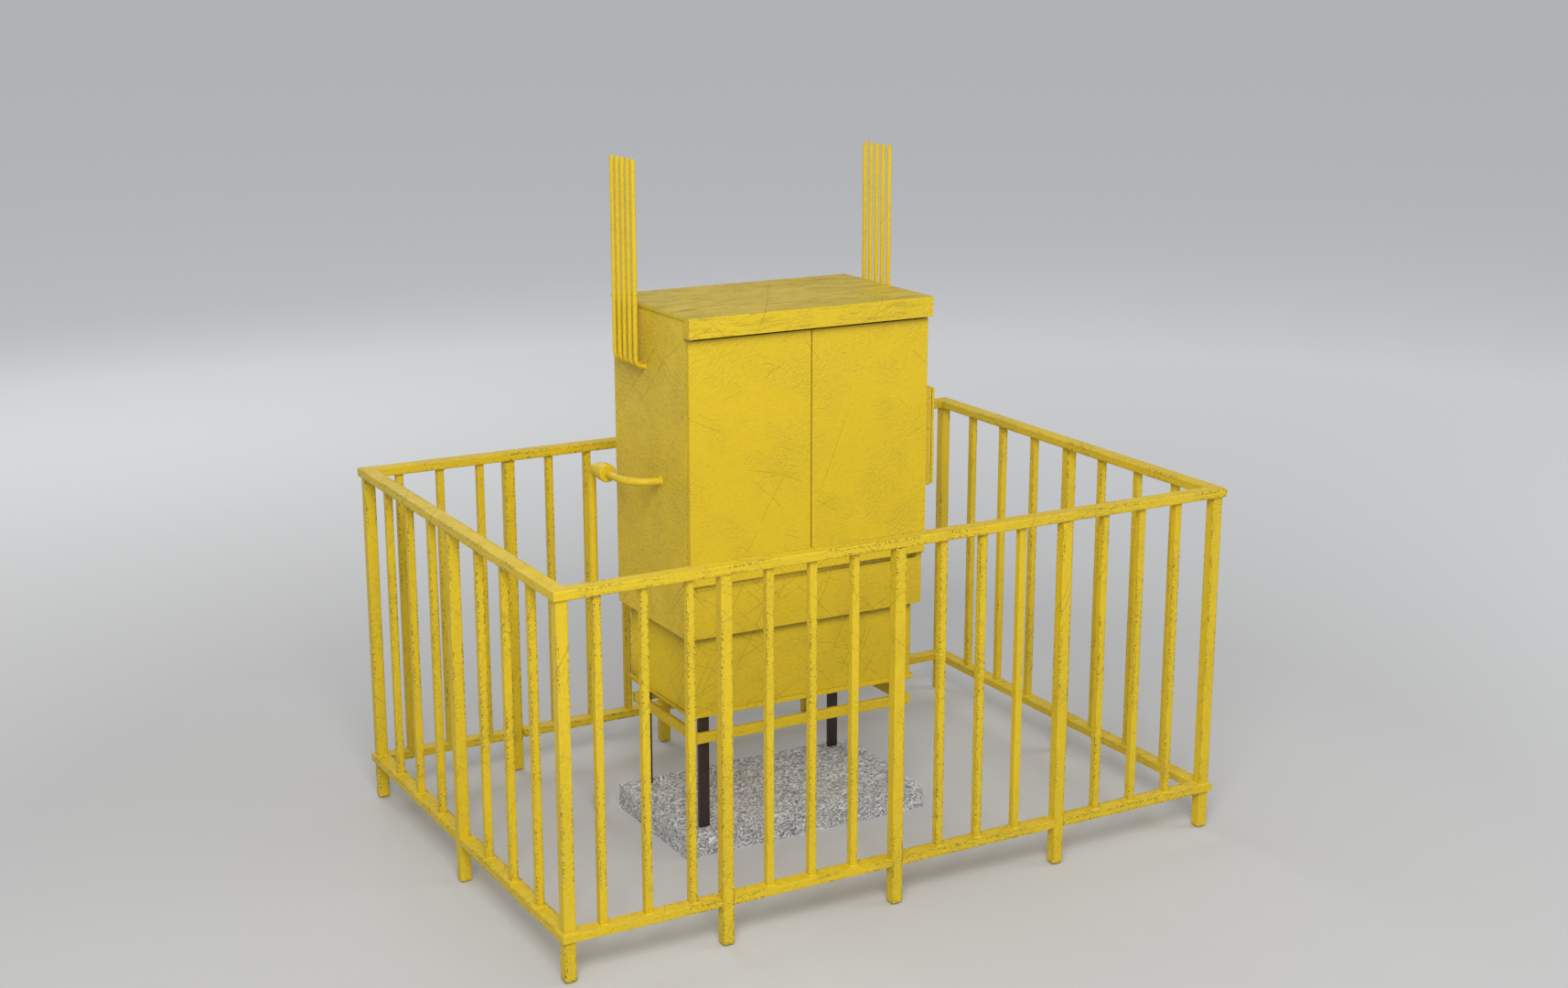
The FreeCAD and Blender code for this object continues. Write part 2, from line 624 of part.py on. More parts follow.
def bars(name, places, spot):
    height = "%s - low_rail_top" % TOP_RAIL_BOTTOM
    return [square_tube("%s_%d" % (name, number), "bar_size", "bar_size", "bar_wall", height, "bar_round",
                        spot(place_along)) for number, place_along in enumerate(places, 1)]


long_stops = ["%s + %s" % (FENCE_LEFT, CORNER)] + ["%s + %s" % (FENCE_LEFT, alias) for alias in LONG_POSTS]
long_stops.append("fence_length/2 - %s" % CORNER)
short_stops = ["%s + %s" % (FENCE_FRONT, CORNER), "%s + side_post" % FENCE_FRONT,
               "fence_width/2 - %s" % CORNER]
for side, sign in (("front", -1), ("rear", 1)):
    y = "%d*(fence_width/2 - rail_width/2)" % sign
    node("fence_bars_" + side, bars("bar_" + side, bar_places(long_stops, "long_bar_pitch"),
                                    lambda along: (along, y, "low_rail_top")))
for side, sign in (("left", -1), ("right", 1)):
    x = "%d*(fence_length/2 - rail_width/2)" % sign
    node("fence_bars_" + side, bars("bar_" + side, bar_places(short_stops, "short_bar_pitch"),
                                    lambda along: (x, along, "low_rail_top")))


# ---------------------------------------------------------------- slab, legs and tie bars

slab = padded("slab", [corners_of(("-slab_length/2", "-slab_width/2"), ("slab_length/2", "slab_width/2"))],
              "slab_height", None, ("station_x", "station_y", 0))
doc.recompute()
cast = slab.Tip
worn = slab.newObject("PartDesign::Chamfer", "slab_worn_edge")
worn.Base = (cast, ["Edge%d" % (number + 1) for number, edge in enumerate(cast.Shape.Edges)
                    if max(vertex.Z for vertex in edge.Vertexes) > value_of("slab_height") / 2])
bind(worn, "Size", "slab_chamfer")
node("concrete_slab", [slab])

for side, sx in (("left", -1), ("right", 1)):
    for end, sy in (("front", -1), ("rear", 1)):
        at = ("station_x + %d*(leg_span - leg_width)/2" % sx,
              "station_y + %d*(leg_depth_span - leg_thick)/2" % sy, "slab_height")
        node("leg_%s_%s" % (end, side),
             [square_tube("leg_%s_%s_tube" % (end, side), "leg_width", "leg_thick", "leg_wall",
                          "plinth_bottom - slab_height", "leg_wall", at)])

tie_bars = []
for end, sign in (("front", -1), ("rear", 1)):
    at = ("station_x - leg_span/2 - tie_thick", "station_y + %d*(leg_depth_span + tie_thick)/2" % sign,
          TIE_MIDDLE)
    tie_bars.append(square_tube("tie_" + end, "tie_height", "tie_thick", "tie_wall", "leg_span + 2*tie_thick",
                                "tie_round/2", at, ALONG_X))
for side, sign in (("left", -1), ("right", 1)):
    at = ("station_x + %d*(leg_span + tie_thick)/2" % sign, "station_y - leg_depth_span/2",
          TIE_MIDDLE)
    tie_bars.append(square_tube("tie_" + side, "tie_thick", "tie_height", "tie_wall", "leg_depth_span",
                                "tie_round/2", at, ALONG_Y))
node("leg_tie_bars", tie_bars)


# ---------------------------------------------------------------- plinth

PLINTH_LEFT = "(station_x - plinth_width/2)"
PLINTH_FRONT = "(station_y - plinth_depth/2)"
panel_low = "plinth_bottom + plinth_floor_thick"
panel_height = "cabinet_bottom - (%s)" % panel_low
node("plinth_floor", [block("plinth_floor_plate", (PLINTH_LEFT, PLINTH_FRONT, "plinth_bottom"),
                            ("plinth_width", "plinth_depth", "plinth_floor_thick"))])
node("plinth_panels", [
    block("plinth_front", (PLINTH_LEFT, PLINTH_FRONT, panel_low), ("plinth_width", "sheet", panel_height)),
    block("plinth_rear", (PLINTH_LEFT, "station_y + plinth_depth/2 - sheet", panel_low),
          ("plinth_width", "sheet", panel_height)),
    block("plinth_left", (PLINTH_LEFT, PLINTH_FRONT + " + sheet", panel_low),
          ("sheet", "plinth_depth - 2*sheet", panel_height)),
    block("plinth_right", ("station_x + plinth_width/2 - sheet", PLINTH_FRONT + " + sheet", panel_low),
          ("sheet", "plinth_depth - 2*sheet", panel_height))])
strips = []
for end, y in (("front", PLINTH_FRONT + " - strip_thick"), ("rear", "station_y + plinth_depth/2")):
    strips.append(block("strip_" + end, (PLINTH_LEFT + " - strip_thick", y, "plinth_bottom"),
                        ("plinth_width + 2*strip_thick", "strip_thick", "strip_height")))
for side, x in (("left", PLINTH_LEFT + " - strip_thick"), ("right", "station_x + plinth_width/2")):
    strips.append(block("strip_" + side, (x, PLINTH_FRONT, "plinth_bottom"),
                        ("strip_thick", "plinth_depth", "strip_height")))
node("plinth_edge_strips", strips)


# ---------------------------------------------------------------- cabinet shell

VENT_Y = ["(station_y + vent_middle + %d*vent_pitch)" % step for step in (-2, -1, 0, 1, 2)]
INNER_LEFT = "(%s + sheet)" % SHELL_LEFT
INNER_WIDTH = "(cabinet_width - 2*sheet)"
for side, x in (("left", SHELL_LEFT), ("right", SHELL_RIGHT + " - sheet")):
    wall = block(side + "_sheet", (x, SHELL_FRONT, "cabinet_bottom"),
                 ("sheet", "cabinet_depth", "%s - cabinet_bottom" % WALL_TOP))
    holes = [rod("%s_vent_hole_%d" % (side, number), (x + " - sheet", y, "vent_entry"),
                 "vent_radius + wall_clearance", "3*sheet", ALONG_X) for number, y in enumerate(VENT_Y, 1)]
    if side == "left":
        holes.append(rod("inlet_hole", (x + " - sheet", "line_y", "line_height"),
                         "pipe_radius + wall_clearance", "3*sheet", ALONG_X))
    node("cabinet_%s_wall" % side, [cut(side + "_wall", wall, holes)])

rear = block("rear_sheet", (INNER_LEFT, SHELL_REAR + " - sheet", "cabinet_bottom"),
             (INNER_WIDTH, "sheet", "%s - cabinet_bottom" % WALL_TOP))
node("cabinet_rear_wall", [cut("rear_wall", rear, [rod(
    "outlet_hole", (OUTLET_X, SHELL_REAR + " - 2*sheet", "line_height"), "outlet_radius + wall_clearance",
    "3*sheet", ALONG_Y)])])
node("cabinet_floor", [block("floor_plate", (INNER_LEFT, SHELL_FRONT + " + sheet", "cabinet_bottom"),
                             (INNER_WIDTH, "cabinet_depth - 2*sheet", "floor_thick"))])
node("cabinet_apron", [block("apron_sheet", (INNER_LEFT, SHELL_FRONT, "cabinet_bottom"),
                             (INNER_WIDTH, "sheet", "sill_bottom - cabinet_bottom"))])


def channel(name, low, span, along):
    """A hollow frame member, open at the two ends that lie along one axis."""
    inner_low = [formula if axis == along else formula + " + sheet" for axis, formula in zip("xyz", low)]
    inner_span = [formula if axis == along else "(%s) - 2*sheet" % formula
                  for axis, formula in zip("xyz", span)]
    return cut(name, block(name + "_outside", low, span), [block(name + "_inside", inner_low, inner_span)])


frame_parts = []
for side, x in (("left", INNER_LEFT), ("right", SHELL_RIGHT + " - sheet - jamb_width")):
    frame_parts.append(channel("jamb_" + side, (x, SHELL_FRONT, "sill_bottom"),
                               ("jamb_width", "frame_depth", "%s - sill_bottom" % WALL_TOP), "z"))
for name, bottom, height in (("sill", "sill_bottom", "sill_height"),
                             ("header", HEADER_BOTTOM, "header_drop")):
    frame_parts.append(channel(name, (INNER_LEFT + " + jamb_width", SHELL_FRONT, bottom),
                               (INNER_WIDTH + " - 2*jamb_width", "frame_depth", height), "x"))
node("door_frame", frame_parts)

ROOF_LEFT = SHELL_LEFT + " - roof_side"
ROOF_FRONT = SHELL_FRONT + " - roof_front"
roof_width = "(cabinet_width + 2*roof_side)"
roof_depth = "(cabinet_depth + roof_front + roof_side)"
node("roof_cap", [fuse("roof", [
    block("roof_sheet", (ROOF_LEFT, ROOF_FRONT, WALL_TOP), (roof_width, roof_depth, "sheet")),
    block("visor", (ROOF_LEFT, ROOF_FRONT, "cabinet_top - visor_height"),
          (roof_width, "sheet", "visor_height")),
    block("visor_fold", (ROOF_LEFT, ROOF_FRONT, "cabinet_top - visor_height"),
          (roof_width, "visor_return", "sheet")),
    block("visor_end_left", (ROOF_LEFT, ROOF_FRONT, "cabinet_top - visor_height"),
          ("sheet", "roof_front - part_gap", "visor_height")),
    block("visor_end_right", (SHELL_RIGHT + " + roof_side - sheet", ROOF_FRONT, "cabinet_top - visor_height"),
          ("sheet", "roof_front - part_gap", "visor_height")),
    block("lip_left", (ROOF_LEFT, ROOF_FRONT, "cabinet_top - roof_lip"), ("sheet", roof_depth, "roof_lip")),
    block("lip_right", (SHELL_RIGHT + " + roof_side - sheet", ROOF_FRONT, "cabinet_top - roof_lip"),
          ("sheet", roof_depth, "roof_lip")),
    block("lip_rear", (ROOF_LEFT, SHELL_REAR + " + roof_side - sheet", "cabinet_top - roof_lip"),
          (roof_width, "sheet", "roof_lip"))])])


# ---------------------------------------------------------------- doors, seals, hinges and catches

DOOR_HEIGHT = "(door_top - door_bottom)"


def door(side):
    """A folded sheet leaf, open at the back inside its fold, with two bored hinge blocks."""
    if side == "left":
        low_x = SHELL_LEFT + " + door_margin"
        hinge_x = low_x + " + hinge_edge"
        block_x = low_x + " + door_sheet"
    else:
        low_x = "station_x + leaf_gap/2"
        hinge_x = SHELL_RIGHT + " - door_margin - hinge_edge"
        block_x = SHELL_RIGHT + " - door_margin - door_sheet - pivot_block"
    leaf = block(side + "_leaf", (low_x, LEAF_FRONT, "door_bottom"),
                 (LEAF_WIDTH, "door_thick", DOOR_HEIGHT))
    hollow = block(side + "_hollow", (low_x + " + door_sheet", LEAF_FRONT + " + door_sheet",
                                      "door_bottom + door_sheet"),
                   (LEAF_WIDTH + " - 2*door_sheet", "door_thick - 2*door_sheet",
                    DOOR_HEIGHT + " - 2*door_sheet"))
    window = block(side + "_window", (low_x + " + door_return", LEAF_BACK + " - 2*door_sheet",
                                      "door_bottom + door_return"),
                   (LEAF_WIDTH + " - 2*door_return", "3*door_sheet", DOOR_HEIGHT + " - 2*door_return"))
    tray = cut(side + "_tray", leaf, [hollow, window])
    extras = []
    bores = []
    for end, z, start in (
            ("top", "door_top - door_sheet - 2*pivot_block", "door_top - pivot_length - door_sheet"),
            ("bottom", "door_bottom + door_sheet", "door_bottom - door_sheet")):
        extras.append(block("%s_block_%s" % (side, end), (block_x, LEAF_FRONT + " + door_sheet", z),
                            ("pivot_block", "door_thick - 2*door_sheet", "2*pivot_block")))
        bores.append(rod("%s_bore_%s" % (side, end), (hinge_x, HINGE_Y, start), "pivot_radius + running_gap",
                         "pivot_length + 2*door_sheet"))
    for number, share in ((1, "1/3"), (2, "2/3")):
        extras.append(block("%s_stiffener_%d" % (side, number),
                            (low_x + " + door_sheet", LEAF_FRONT + " + door_sheet",
                             "door_bottom + %s*%s - door_return/2" % (DOOR_HEIGHT, share)),
                            (LEAF_WIDTH + " - 2*door_sheet", "door_thick/2", "door_return")))
    whole = fuse(side + "_door_whole", [tray] + extras)
    return cut(side + "_door_bored", whole, bores)


def seal(side):
    """A rubber ring glued to the fold at the back of a leaf."""
    low_x = SHELL_LEFT + " + door_margin" if side == "left" else "station_x + leaf_gap/2"
    ring = block(side + "_seal_outside", (low_x + " + seal_inset", LEAF_BACK, "door_bottom + seal_inset"),
                 (LEAF_WIDTH + " - 2*seal_inset", "door_standoff - part_gap",
                  DOOR_HEIGHT + " - 2*seal_inset"))
    inside = "(seal_inset + seal_width)"
    middle = block(side + "_seal_inside",
                   (low_x + " + " + inside, LEAF_BACK + " - sheet", "door_bottom + " + inside),
                   (LEAF_WIDTH + " - 2*" + inside, "door_standoff + 2*sheet", DOOR_HEIGHT + " - 2*" + inside))
    return cut(side + "_seal", ring, [middle])


pivots = []
for side in ("left", "right"):
    node(side + "_door", [door(side)])
    node(side + "_door_seal", [seal(side)])
    hinge_x = (SHELL_LEFT + " + door_margin + hinge_edge" if side == "left"
               else SHELL_RIGHT + " - door_margin - hinge_edge")
    for end, plate_z, pin_z in (
            ("top", "door_top + pivot_space", "door_top + pivot_space - pivot_length"),
            ("bottom", "door_bottom - pivot_space - pivot_plate", "door_bottom - pivot_space")):
        plate = block("%s_bracket_%s" % (side, end),
                      (hinge_x + " - hinge_edge", HINGE_Y + " - hinge_edge", plate_z),
                      ("2*hinge_edge", "%s - %s + hinge_edge" % (SHELL_FRONT, HINGE_Y), "pivot_plate"))
        pin = rod("%s_pin_%s" % (side, end), (hinge_x, HINGE_Y, pin_z), "pivot_radius", "pivot_length")
        pivots.append(fuse("%s_pivot_%s" % (side, end), [plate, pin]))
node("door_hinge_pivots", pivots)

CATCH_Z = "%s + part_gap" % HEADER_BOTTOM
catches = []
for side, x in (("left", "station_x - catch_offset - catch_length"), ("right", "station_x + catch_offset")):
    catches.append(block("catch_" + side, (x, SHELL_FRONT + " - door_standoff + part_gap", CATCH_Z),
                         ("catch_length", "door_standoff - part_gap", "catch_height")))
node("door_catch_magnets", catches)


# ---------------------------------------------------------------- vent pipes

def vent(name, side, y):
    """A vent: straight up outside the wall, with its lower end bent through the wall."""
    sign = -1 if side == "left" else 1
    wall = SHELL_LEFT if side == "left" else SHELL_RIGHT
    x_out = "%s + %d*vent_standoff" % (wall, sign)
    x_in = "%s - %d*(sheet + vent_inside)" % (wall, sign)
    route = [point(x_out, y, "vent_top"), point(x_out, y, "vent_entry"), point(x_in, y, "vent_entry")]
    return bent_pipe(name, route, value_of("vent_bend"), value_of("vent_radius"), value_of("vent_wall"))


for side in ("left", "right"):
    node("vent_pipes_" + side,
         [vent("vent_%s_%d" % (side, number), side, y) for number, y in enumerate(VENT_Y, 1)])


# ---------------------------------------------------------------- gas inlet outside the cabinet

JOINT_REAR = "(riser_y - joint_start)"
DISC_REAR = "(%s - collar_length)" % JOINT_REAR
DISC_FRONT = "(%s - disc_length)" % DISC_REAR
node("inlet_riser", [bent_pipe("riser", [point(RISER_X, "riser_y", "0"),
                                         point(RISER_X, "riser_y", "line_height"),
                                         point(RISER_X, JOINT_REAR, "line_height")],
                               value_of("riser_bend"), value_of("riser_radius"), value_of("pipe_wall"))])
BORE = "(pipe_radius - pipe_wall)"
node("insulating_joint", [turned("insulating_joint_body", [
    (BORE, "0"), ("collar_radius", "0"), ("collar_radius", "collar_length"),
    ("disc_radius", "collar_length + joint_shoulder"),
    ("disc_radius", "collar_length + disc_length - joint_taper"),
    ("disc_radius - joint_taper", "collar_length + disc_length"),
    (BORE, "collar_length + disc_length")], (RISER_X, JOINT_REAR, "line_height"), TOWARDS_FRONT)])
node("inlet_pipe", [bent_pipe("inlet_run", [point(RISER_X, DISC_FRONT, "line_height"),
                                            point(RISER_X, "line_y", "line_height"),
                                            point(VALVE_ONE, "line_y", "line_height")],
                              value_of("pipe_bend"), value_of("pipe_radius"), value_of("pipe_wall"))])


# ---------------------------------------------------------------- gas line inside the cabinet

def line_piece(name, start, points):
    """A turned fitting whose axis is the gas line, from its left end."""
    return turned(name, points, (start, "line_y", "line_height"), ALONG_X)


def ball_valve(name, start, port, ball):
    """A ball valve: two port collars, a round middle and a spindle boss on top."""
    bore = "(%s - pipe_wall)" % port
    collar = port + " + valve_collar"
    body = line_piece(name + "_body", start, [
        (bore, "0"), (collar, "0"), (collar, "valve_length/4"), (ball, "valve_length/3"),
        (ball, "2*valve_length/3"), (collar, "3*valve_length/4"), (collar, "valve_length"),
        (bore, "valve_length")])
    seat = ("%s + valve_length/2" % start, "line_y", "line_height + %s - boss_seat" % ball)
    boss = rod(name + "_boss", seat, "stem_radius + boss_wall", "boss_seat + boss_height")
    spindle = rod(name + "_spindle", seat, "stem_radius",
                  "boss_seat + boss_height + lever_thick + spindle_end")
    return fuse(name + "_whole", [body, boss, spindle])


def lever(name, start, ball):
    """A flat lever bored to turn on the spindle, with a thicker grip; it lies along the pipe when open."""
    middle = "%s + valve_length/2" % start
    low_z = "line_height + %s + boss_height + part_gap" % ball
    arm = block(name + "_arm", ("%s - lever_length" % middle, "line_y - lever_width/2", low_z),
                ("lever_length", "lever_width", "lever_thick"))
    hub = rod(name + "_hub", (middle, "line_y", low_z), "lever_hub", "lever_thick")
    grip = block(name + "_grip",
                 ("%s - lever_length" % middle, "line_y - lever_width/2 - lever_grip",
                  low_z + " - lever_grip"),
                 ("lever_length/2", "lever_width + 2*lever_grip", "lever_thick + 2*lever_grip"))
    bore = rod(name + "_bore", (middle, "line_y", low_z + " - lever_thick"), "stem_radius + running_gap",
               "3*lever_thick")
    return cut(name + "_bored", fuse(name + "_joined", [arm, hub, grip]), [bore])


node("inlet_valve", [ball_valve("valve_one", VALVE_ONE, "pipe_radius", "ball_radius")])
node("inlet_valve_lever", [lever("lever_one", VALVE_ONE, "ball_radius")])
node("outlet_valve", [ball_valve("valve_two", VALVE_TWO, "outlet_radius", "outlet_ball")])
node("outlet_valve_lever", [lever("lever_two", VALVE_TWO, "outlet_ball")])

nipples = []
for number, (start, radius) in enumerate(((VALVE_ONE + " + valve_length", "pipe_radius"),
                                          (FILTER + " + filter_length", "pipe_radius"),
                                          (SHUTOFF + " + shutoff_length", "pipe_radius"),
                                          (REGULATOR + " + regulator_length", "outlet_radius")), 1):
    inner = "(%s - pipe_wall)" % radius
    nipples.append(line_piece("nipple_%d" % number, start,
                              [(inner, "0"), (radius, "0"), (radius, "nipple"), (inner, "nipple")]))
node("pipe_nipples", nipples)


def ports(name, start, length, left, right):
    """The two pipe collars of a fitting, each as long as it takes to reach the fitting's middle."""
    return [rod(name + "_port_left", (start, "line_y", "line_height"), left + " + port_wall",
                length + "/2", ALONG_X),
            rod(name + "_port_right", (start + " + %s/2" % length, "line_y", "line_height"),
                right + " + port_wall", length + "/2", ALONG_X)]


filter_x = FILTER + " + filter_length/2"
filter_ports = ports("filter", FILTER, "filter_length", "pipe_radius", "pipe_radius")
filter_body = turned("filter_bowl", [
    ("0", "-filter_depth"), ("filter_foot", "-filter_depth"),
    ("filter_radius", "-filter_depth + filter_slope"), ("filter_radius", "filter_rise - filter_rim_height"),
    ("filter_radius + filter_rim", "filter_rise - filter_rim_height"),
    ("filter_radius + filter_rim", "filter_rise"), ("cover_radius", "filter_rise"),
    ("cover_radius - cover_slope", "filter_rise + cover_height"), ("0", "filter_rise + cover_height")],
    (filter_x, "line_y", "line_height"))
node("gas_filter", [fuse("filter_whole", filter_ports + [filter_body])])

shutoff_x = SHUTOFF + " + shutoff_length/2"
boss_end = "-shutoff_radius - knob_boss"
rim_bottom = "shutoff_radius + neck_height"
rim_top = rim_bottom + " + bonnet_rim_height"
shutoff_ports = ports("shutoff", SHUTOFF, "shutoff_length", "pipe_radius", "pipe_radius")
shutoff_body = turned("shutoff_body", [
    ("0", boss_end + " + stem_room"), ("stem_radius + running_gap", boss_end + " + stem_room"),
    ("stem_radius + running_gap", boss_end), ("knob_radius + knob_boss_wall", boss_end),
    ("knob_radius + knob_boss_wall", "-shutoff_radius"),
    ("shutoff_radius - shutoff_bevel", "-shutoff_radius + shutoff_bevel_rise"),
    ("shutoff_radius", "-shutoff_radius/2"), ("shutoff_radius", "shutoff_radius/2"),
    ("neck_radius", "shutoff_radius"), ("neck_radius", rim_bottom),
    ("bonnet_radius + bonnet_rim", rim_bottom), ("bonnet_radius + bonnet_rim", rim_top),
    ("bonnet_radius", rim_top), ("bonnet_radius", "bonnet_top - bonnet_bevel"),
    ("bonnet_radius - bonnet_bevel", "bonnet_top"), ("0", "bonnet_top")],
    (shutoff_x, "line_y", "line_height"))
node("shutoff_valve", [fuse("shutoff_whole", shutoff_ports + [shutoff_body])])
knob_top = boss_end + " - part_gap"
knob_low = knob_top + " - knob_height"
node("shutoff_reset_knob", [turned("reset_knob", [
    ("0", knob_low), ("knob_radius - knob_bevel", knob_low), ("knob_radius", knob_low + " + knob_bevel"),
    ("knob_radius", knob_top + " - knob_shoulder"), ("knob_radius - knob_shoulder", knob_top),
    ("stem_radius", knob_top), ("stem_radius", knob_top + " + stem_length"),
    ("0", knob_top + " + stem_length")], (shutoff_x, "line_y", "line_height"))])

regulator_x = REGULATOR + " + regulator_length/2"
regulator_body = turned("regulator_globe", [
    ("0", "-regulator_radius - plug_depth"), ("plug_radius", "-regulator_radius - plug_depth"),
    ("plug_radius + globe_step", "-regulator_radius"),
    ("regulator_radius - globe_step", "-regulator_radius + plug_depth"),
    ("regulator_radius", "-regulator_radius/3"), ("regulator_radius", "regulator_radius/3"),
    ("tower_radius", "regulator_radius"), ("tower_radius", "case_bottom"), ("0", "case_bottom")],
    (regulator_x, "line_y", "line_height"))
regulator_globe = fuse("regulator_whole", ports("regulator", REGULATOR, "regulator_length", "pipe_radius",
                                                "outlet_radius") + [regulator_body])
CASE_MIDDLE = "(case_bottom + case_height/2)"
CASE_TOP = "(case_bottom + case_height)"
diaphragm_case = turned("diaphragm_case", [
    ("0", "case_bottom"), ("tower_radius + tower_foot", "case_bottom"),
    ("case_radius - case_dish", "case_bottom + case_height/4"),
    ("case_radius", CASE_MIDDLE + " - case_rim_half"),
    ("case_radius + case_rim", CASE_MIDDLE + " - case_rim_half"),
    ("case_radius + case_rim", CASE_MIDDLE + " + case_rim_half"),
    ("case_radius", CASE_MIDDLE + " + case_rim_half"),
    ("case_radius - case_dish", "case_bottom + 3*case_height/4"),
    ("tower_radius + tower_foot", CASE_TOP), ("tower_radius", CASE_TOP + " + tower_foot_height"),
    ("tower_radius", CASE_TOP + " + tower_height"), ("0", CASE_TOP + " + tower_height")],
    (regulator_x, "line_y", "line_height"))
node("pressure_regulator", [regulator_globe, diaphragm_case])
adjuster_low = CASE_TOP + " + tower_height + part_gap"
node("regulator_adjuster", [padded("adjusting_cap", [
    [("adjuster_radius*cos(%d)" % angle, "adjuster_radius*sin(%d)" % angle) for angle in range(0, 360, 60)]],
    "adjuster_height", None, (regulator_x, "line_y", "line_height + " + adjuster_low))])

# The outlet leaves through the rear wall and ends in a bolted flange.
outlet_run = bent_pipe("outlet_run", [point(OUTLET, "line_y", "line_height"),
                                      point(OUTLET_X, "line_y", "line_height"),
                                      point(OUTLET_X, FLANGE_Y, "line_height")],
                       value_of("outlet_bend"), value_of("outlet_radius"), value_of("pipe_wall"))
flange = turned("outlet_flange", [("outlet_radius", "0"), ("flange_radius", "0"),
                                  ("flange_radius", "flange_thick"), ("outlet_radius", "flange_thick")],
                (OUTLET_X, FLANGE_Y + " - flange_thick", "line_height"), ALONG_Y)
bolt_holes = [rod("flange_hole_%d" % number, (
    "%s + bolt_circle/2*cos(%d)" % (OUTLET_X, angle), FLANGE_Y + " - 2*flange_thick",
    "line_height + bolt_circle/2*sin(%d)" % angle), "bolt_hole", "3*flange_thick", ALONG_Y)
    for number, angle in enumerate((45, 135, 225, 315), 1)]
node("outlet_pipe", [fuse("outlet_whole", [outlet_run, cut("outlet_flange_bored", flange, bolt_holes)])])


def gauge(name, x, pipe):
    """A dial gauge on a stem: a round case facing the doors, with a recessed dial."""
    rise = "(line_height + gauge_rise)"
    case = turned(name + "_case", [("0", "0"), ("gauge_radius", "0"), ("gauge_radius", "gauge_depth"),
                                   ("gauge_radius - gauge_wall", "gauge_depth"),
                                   ("gauge_radius - gauge_wall", "gauge_depth - gauge_recess"),
                                   ("0", "gauge_depth - gauge_recess")],
                  (x, "line_y + gauge_depth/2", rise), TOWARDS_FRONT)
    stem = rod(name + "_stem", (x, "line_y", "line_height + %s" % pipe), "gauge_stem",
               "gauge_rise - %s - gauge_radius + gauge_wall" % pipe)
    return fuse(name + "_whole", [case, stem])


def needle(name, x):
    """A needle on its hub, at zero: down and to the left, just clear of the dial."""
    y = "line_y - gauge_depth/2 + gauge_recess - part_gap"
    centre = (x, y, "line_height + gauge_rise")
    hub = rod(name + "_hub", centre, "needle_width", "2*needle_thick", TOWARDS_FRONT)
    blade = doc.addObject("Part::Box", name + "_blade")
    bind(blade, "Length", "needle_length")
    bind(blade, "Width", "needle_thick")
    bind(blade, "Height", "needle_width/2")
    place(blade, (x, y + " - needle_thick", "line_height + gauge_rise"), ((0, 1, 0), 135))
    return fuse(name + "_whole", [hub, blade])


GAUGES = (("inlet_gauge", VALVE_ONE + " + valve_length + nipple/2", "pipe_radius"),
          ("outlet_gauge", OUTLET + " + gauge_stem + gauge_clear", "outlet_radius"))
for name, x, pipe in GAUGES:
    node(name, [gauge(name, x, pipe)])
    node(name + "_needle", [needle(name + "_pointer", x)])

# The relief valve stands on the outlet pipe and blows off into the first vent on the right.
RELIEF_TOP = "(line_height + outlet_radius + relief_height)"
relief_body = turned("relief_body", [
    ("0", "0"), ("relief_radius - relief_foot", "0"), ("relief_radius - relief_foot", "relief_height/4"),
    ("relief_radius", "relief_height/3"), ("relief_radius", "3*relief_height/4"),
    (RELIEF_TUBE + " + relief_collar", "relief_height"), ("0", "relief_height")],
    (OUTLET_X, VENT_Y[0], "line_height + outlet_radius"))
relief_run = bent_pipe("relief_run", [
    point(OUTLET_X, VENT_Y[0], RELIEF_TOP), point(OUTLET_X, VENT_Y[0], "vent_entry"),
    point(SHELL_RIGHT + " - sheet - vent_inside", VENT_Y[0], "vent_entry")],
    value_of("relief_bend"), value_of(RELIEF_TUBE), value_of("vent_wall"))
node("relief_valve", [relief_body, relief_run])

props = []
for number, start in enumerate((FILTER + " + filter_length", SHUTOFF + " + shutoff_length"), 1):
    low = (start + " + nipple/2 - prop_size/2", "line_y - prop_size/2", "cabinet_bottom + floor_thick")
    stand = block("prop_%d_stand" % number, low,
                  ("prop_size", "prop_size", "line_height - cabinet_bottom - floor_thick"))
    props.append(cut("prop_%d" % number, stand, [
        rod("prop_%d_saddle" % number, (start, "line_y", "line_height"), "pipe_radius + wall_clearance",
            "nipple", ALONG_X)]))
node("line_props", props)


# ---------------------------------------------------------------- instrument box

BOX_DEPTH = "(box_proud - lid_thick - lid_gap)"
BOX_REAR = "(box_length - box_front)"
LID_X = "(%s + %s + lid_gap)" % (SHELL_RIGHT, BOX_DEPTH)
LID_AXIS = (LID_X + " + lid_thick/2", BOX_REAR + " - lid_edge")
box_shell = cut("box_shell", block("box_outside", (SHELL_RIGHT, "-box_front", "box_bottom"),
                                   (BOX_DEPTH, "box_length", "box_height")),
                [block("box_inside", (SHELL_RIGHT + " + sheet", "-box_front + sheet", "box_bottom + sheet"),
                       (BOX_DEPTH, "box_length - 2*sheet", "box_height - 2*sheet"))])
ears = []
BOX_TOP = "(box_bottom + box_height)"
for end, ear_z, pin_z in (("top", BOX_TOP + " - pivot_plate", BOX_TOP + " - 3*lid_inset"),
                          ("bottom", "box_bottom", "box_bottom")):
    ears.append(block("box_ear_" + end, (SHELL_RIGHT + " + " + BOX_DEPTH + " - sheet",
                                         LID_AXIS[1] + " - lid_edge", ear_z),
                      ("lid_gap + sheet + lid_thick", "2*lid_edge", "pivot_plate")))
    ears.append(rod("box_pin_" + end, (LID_AXIS[0], LID_AXIS[1], pin_z), "lid_pin", "3*lid_inset"))
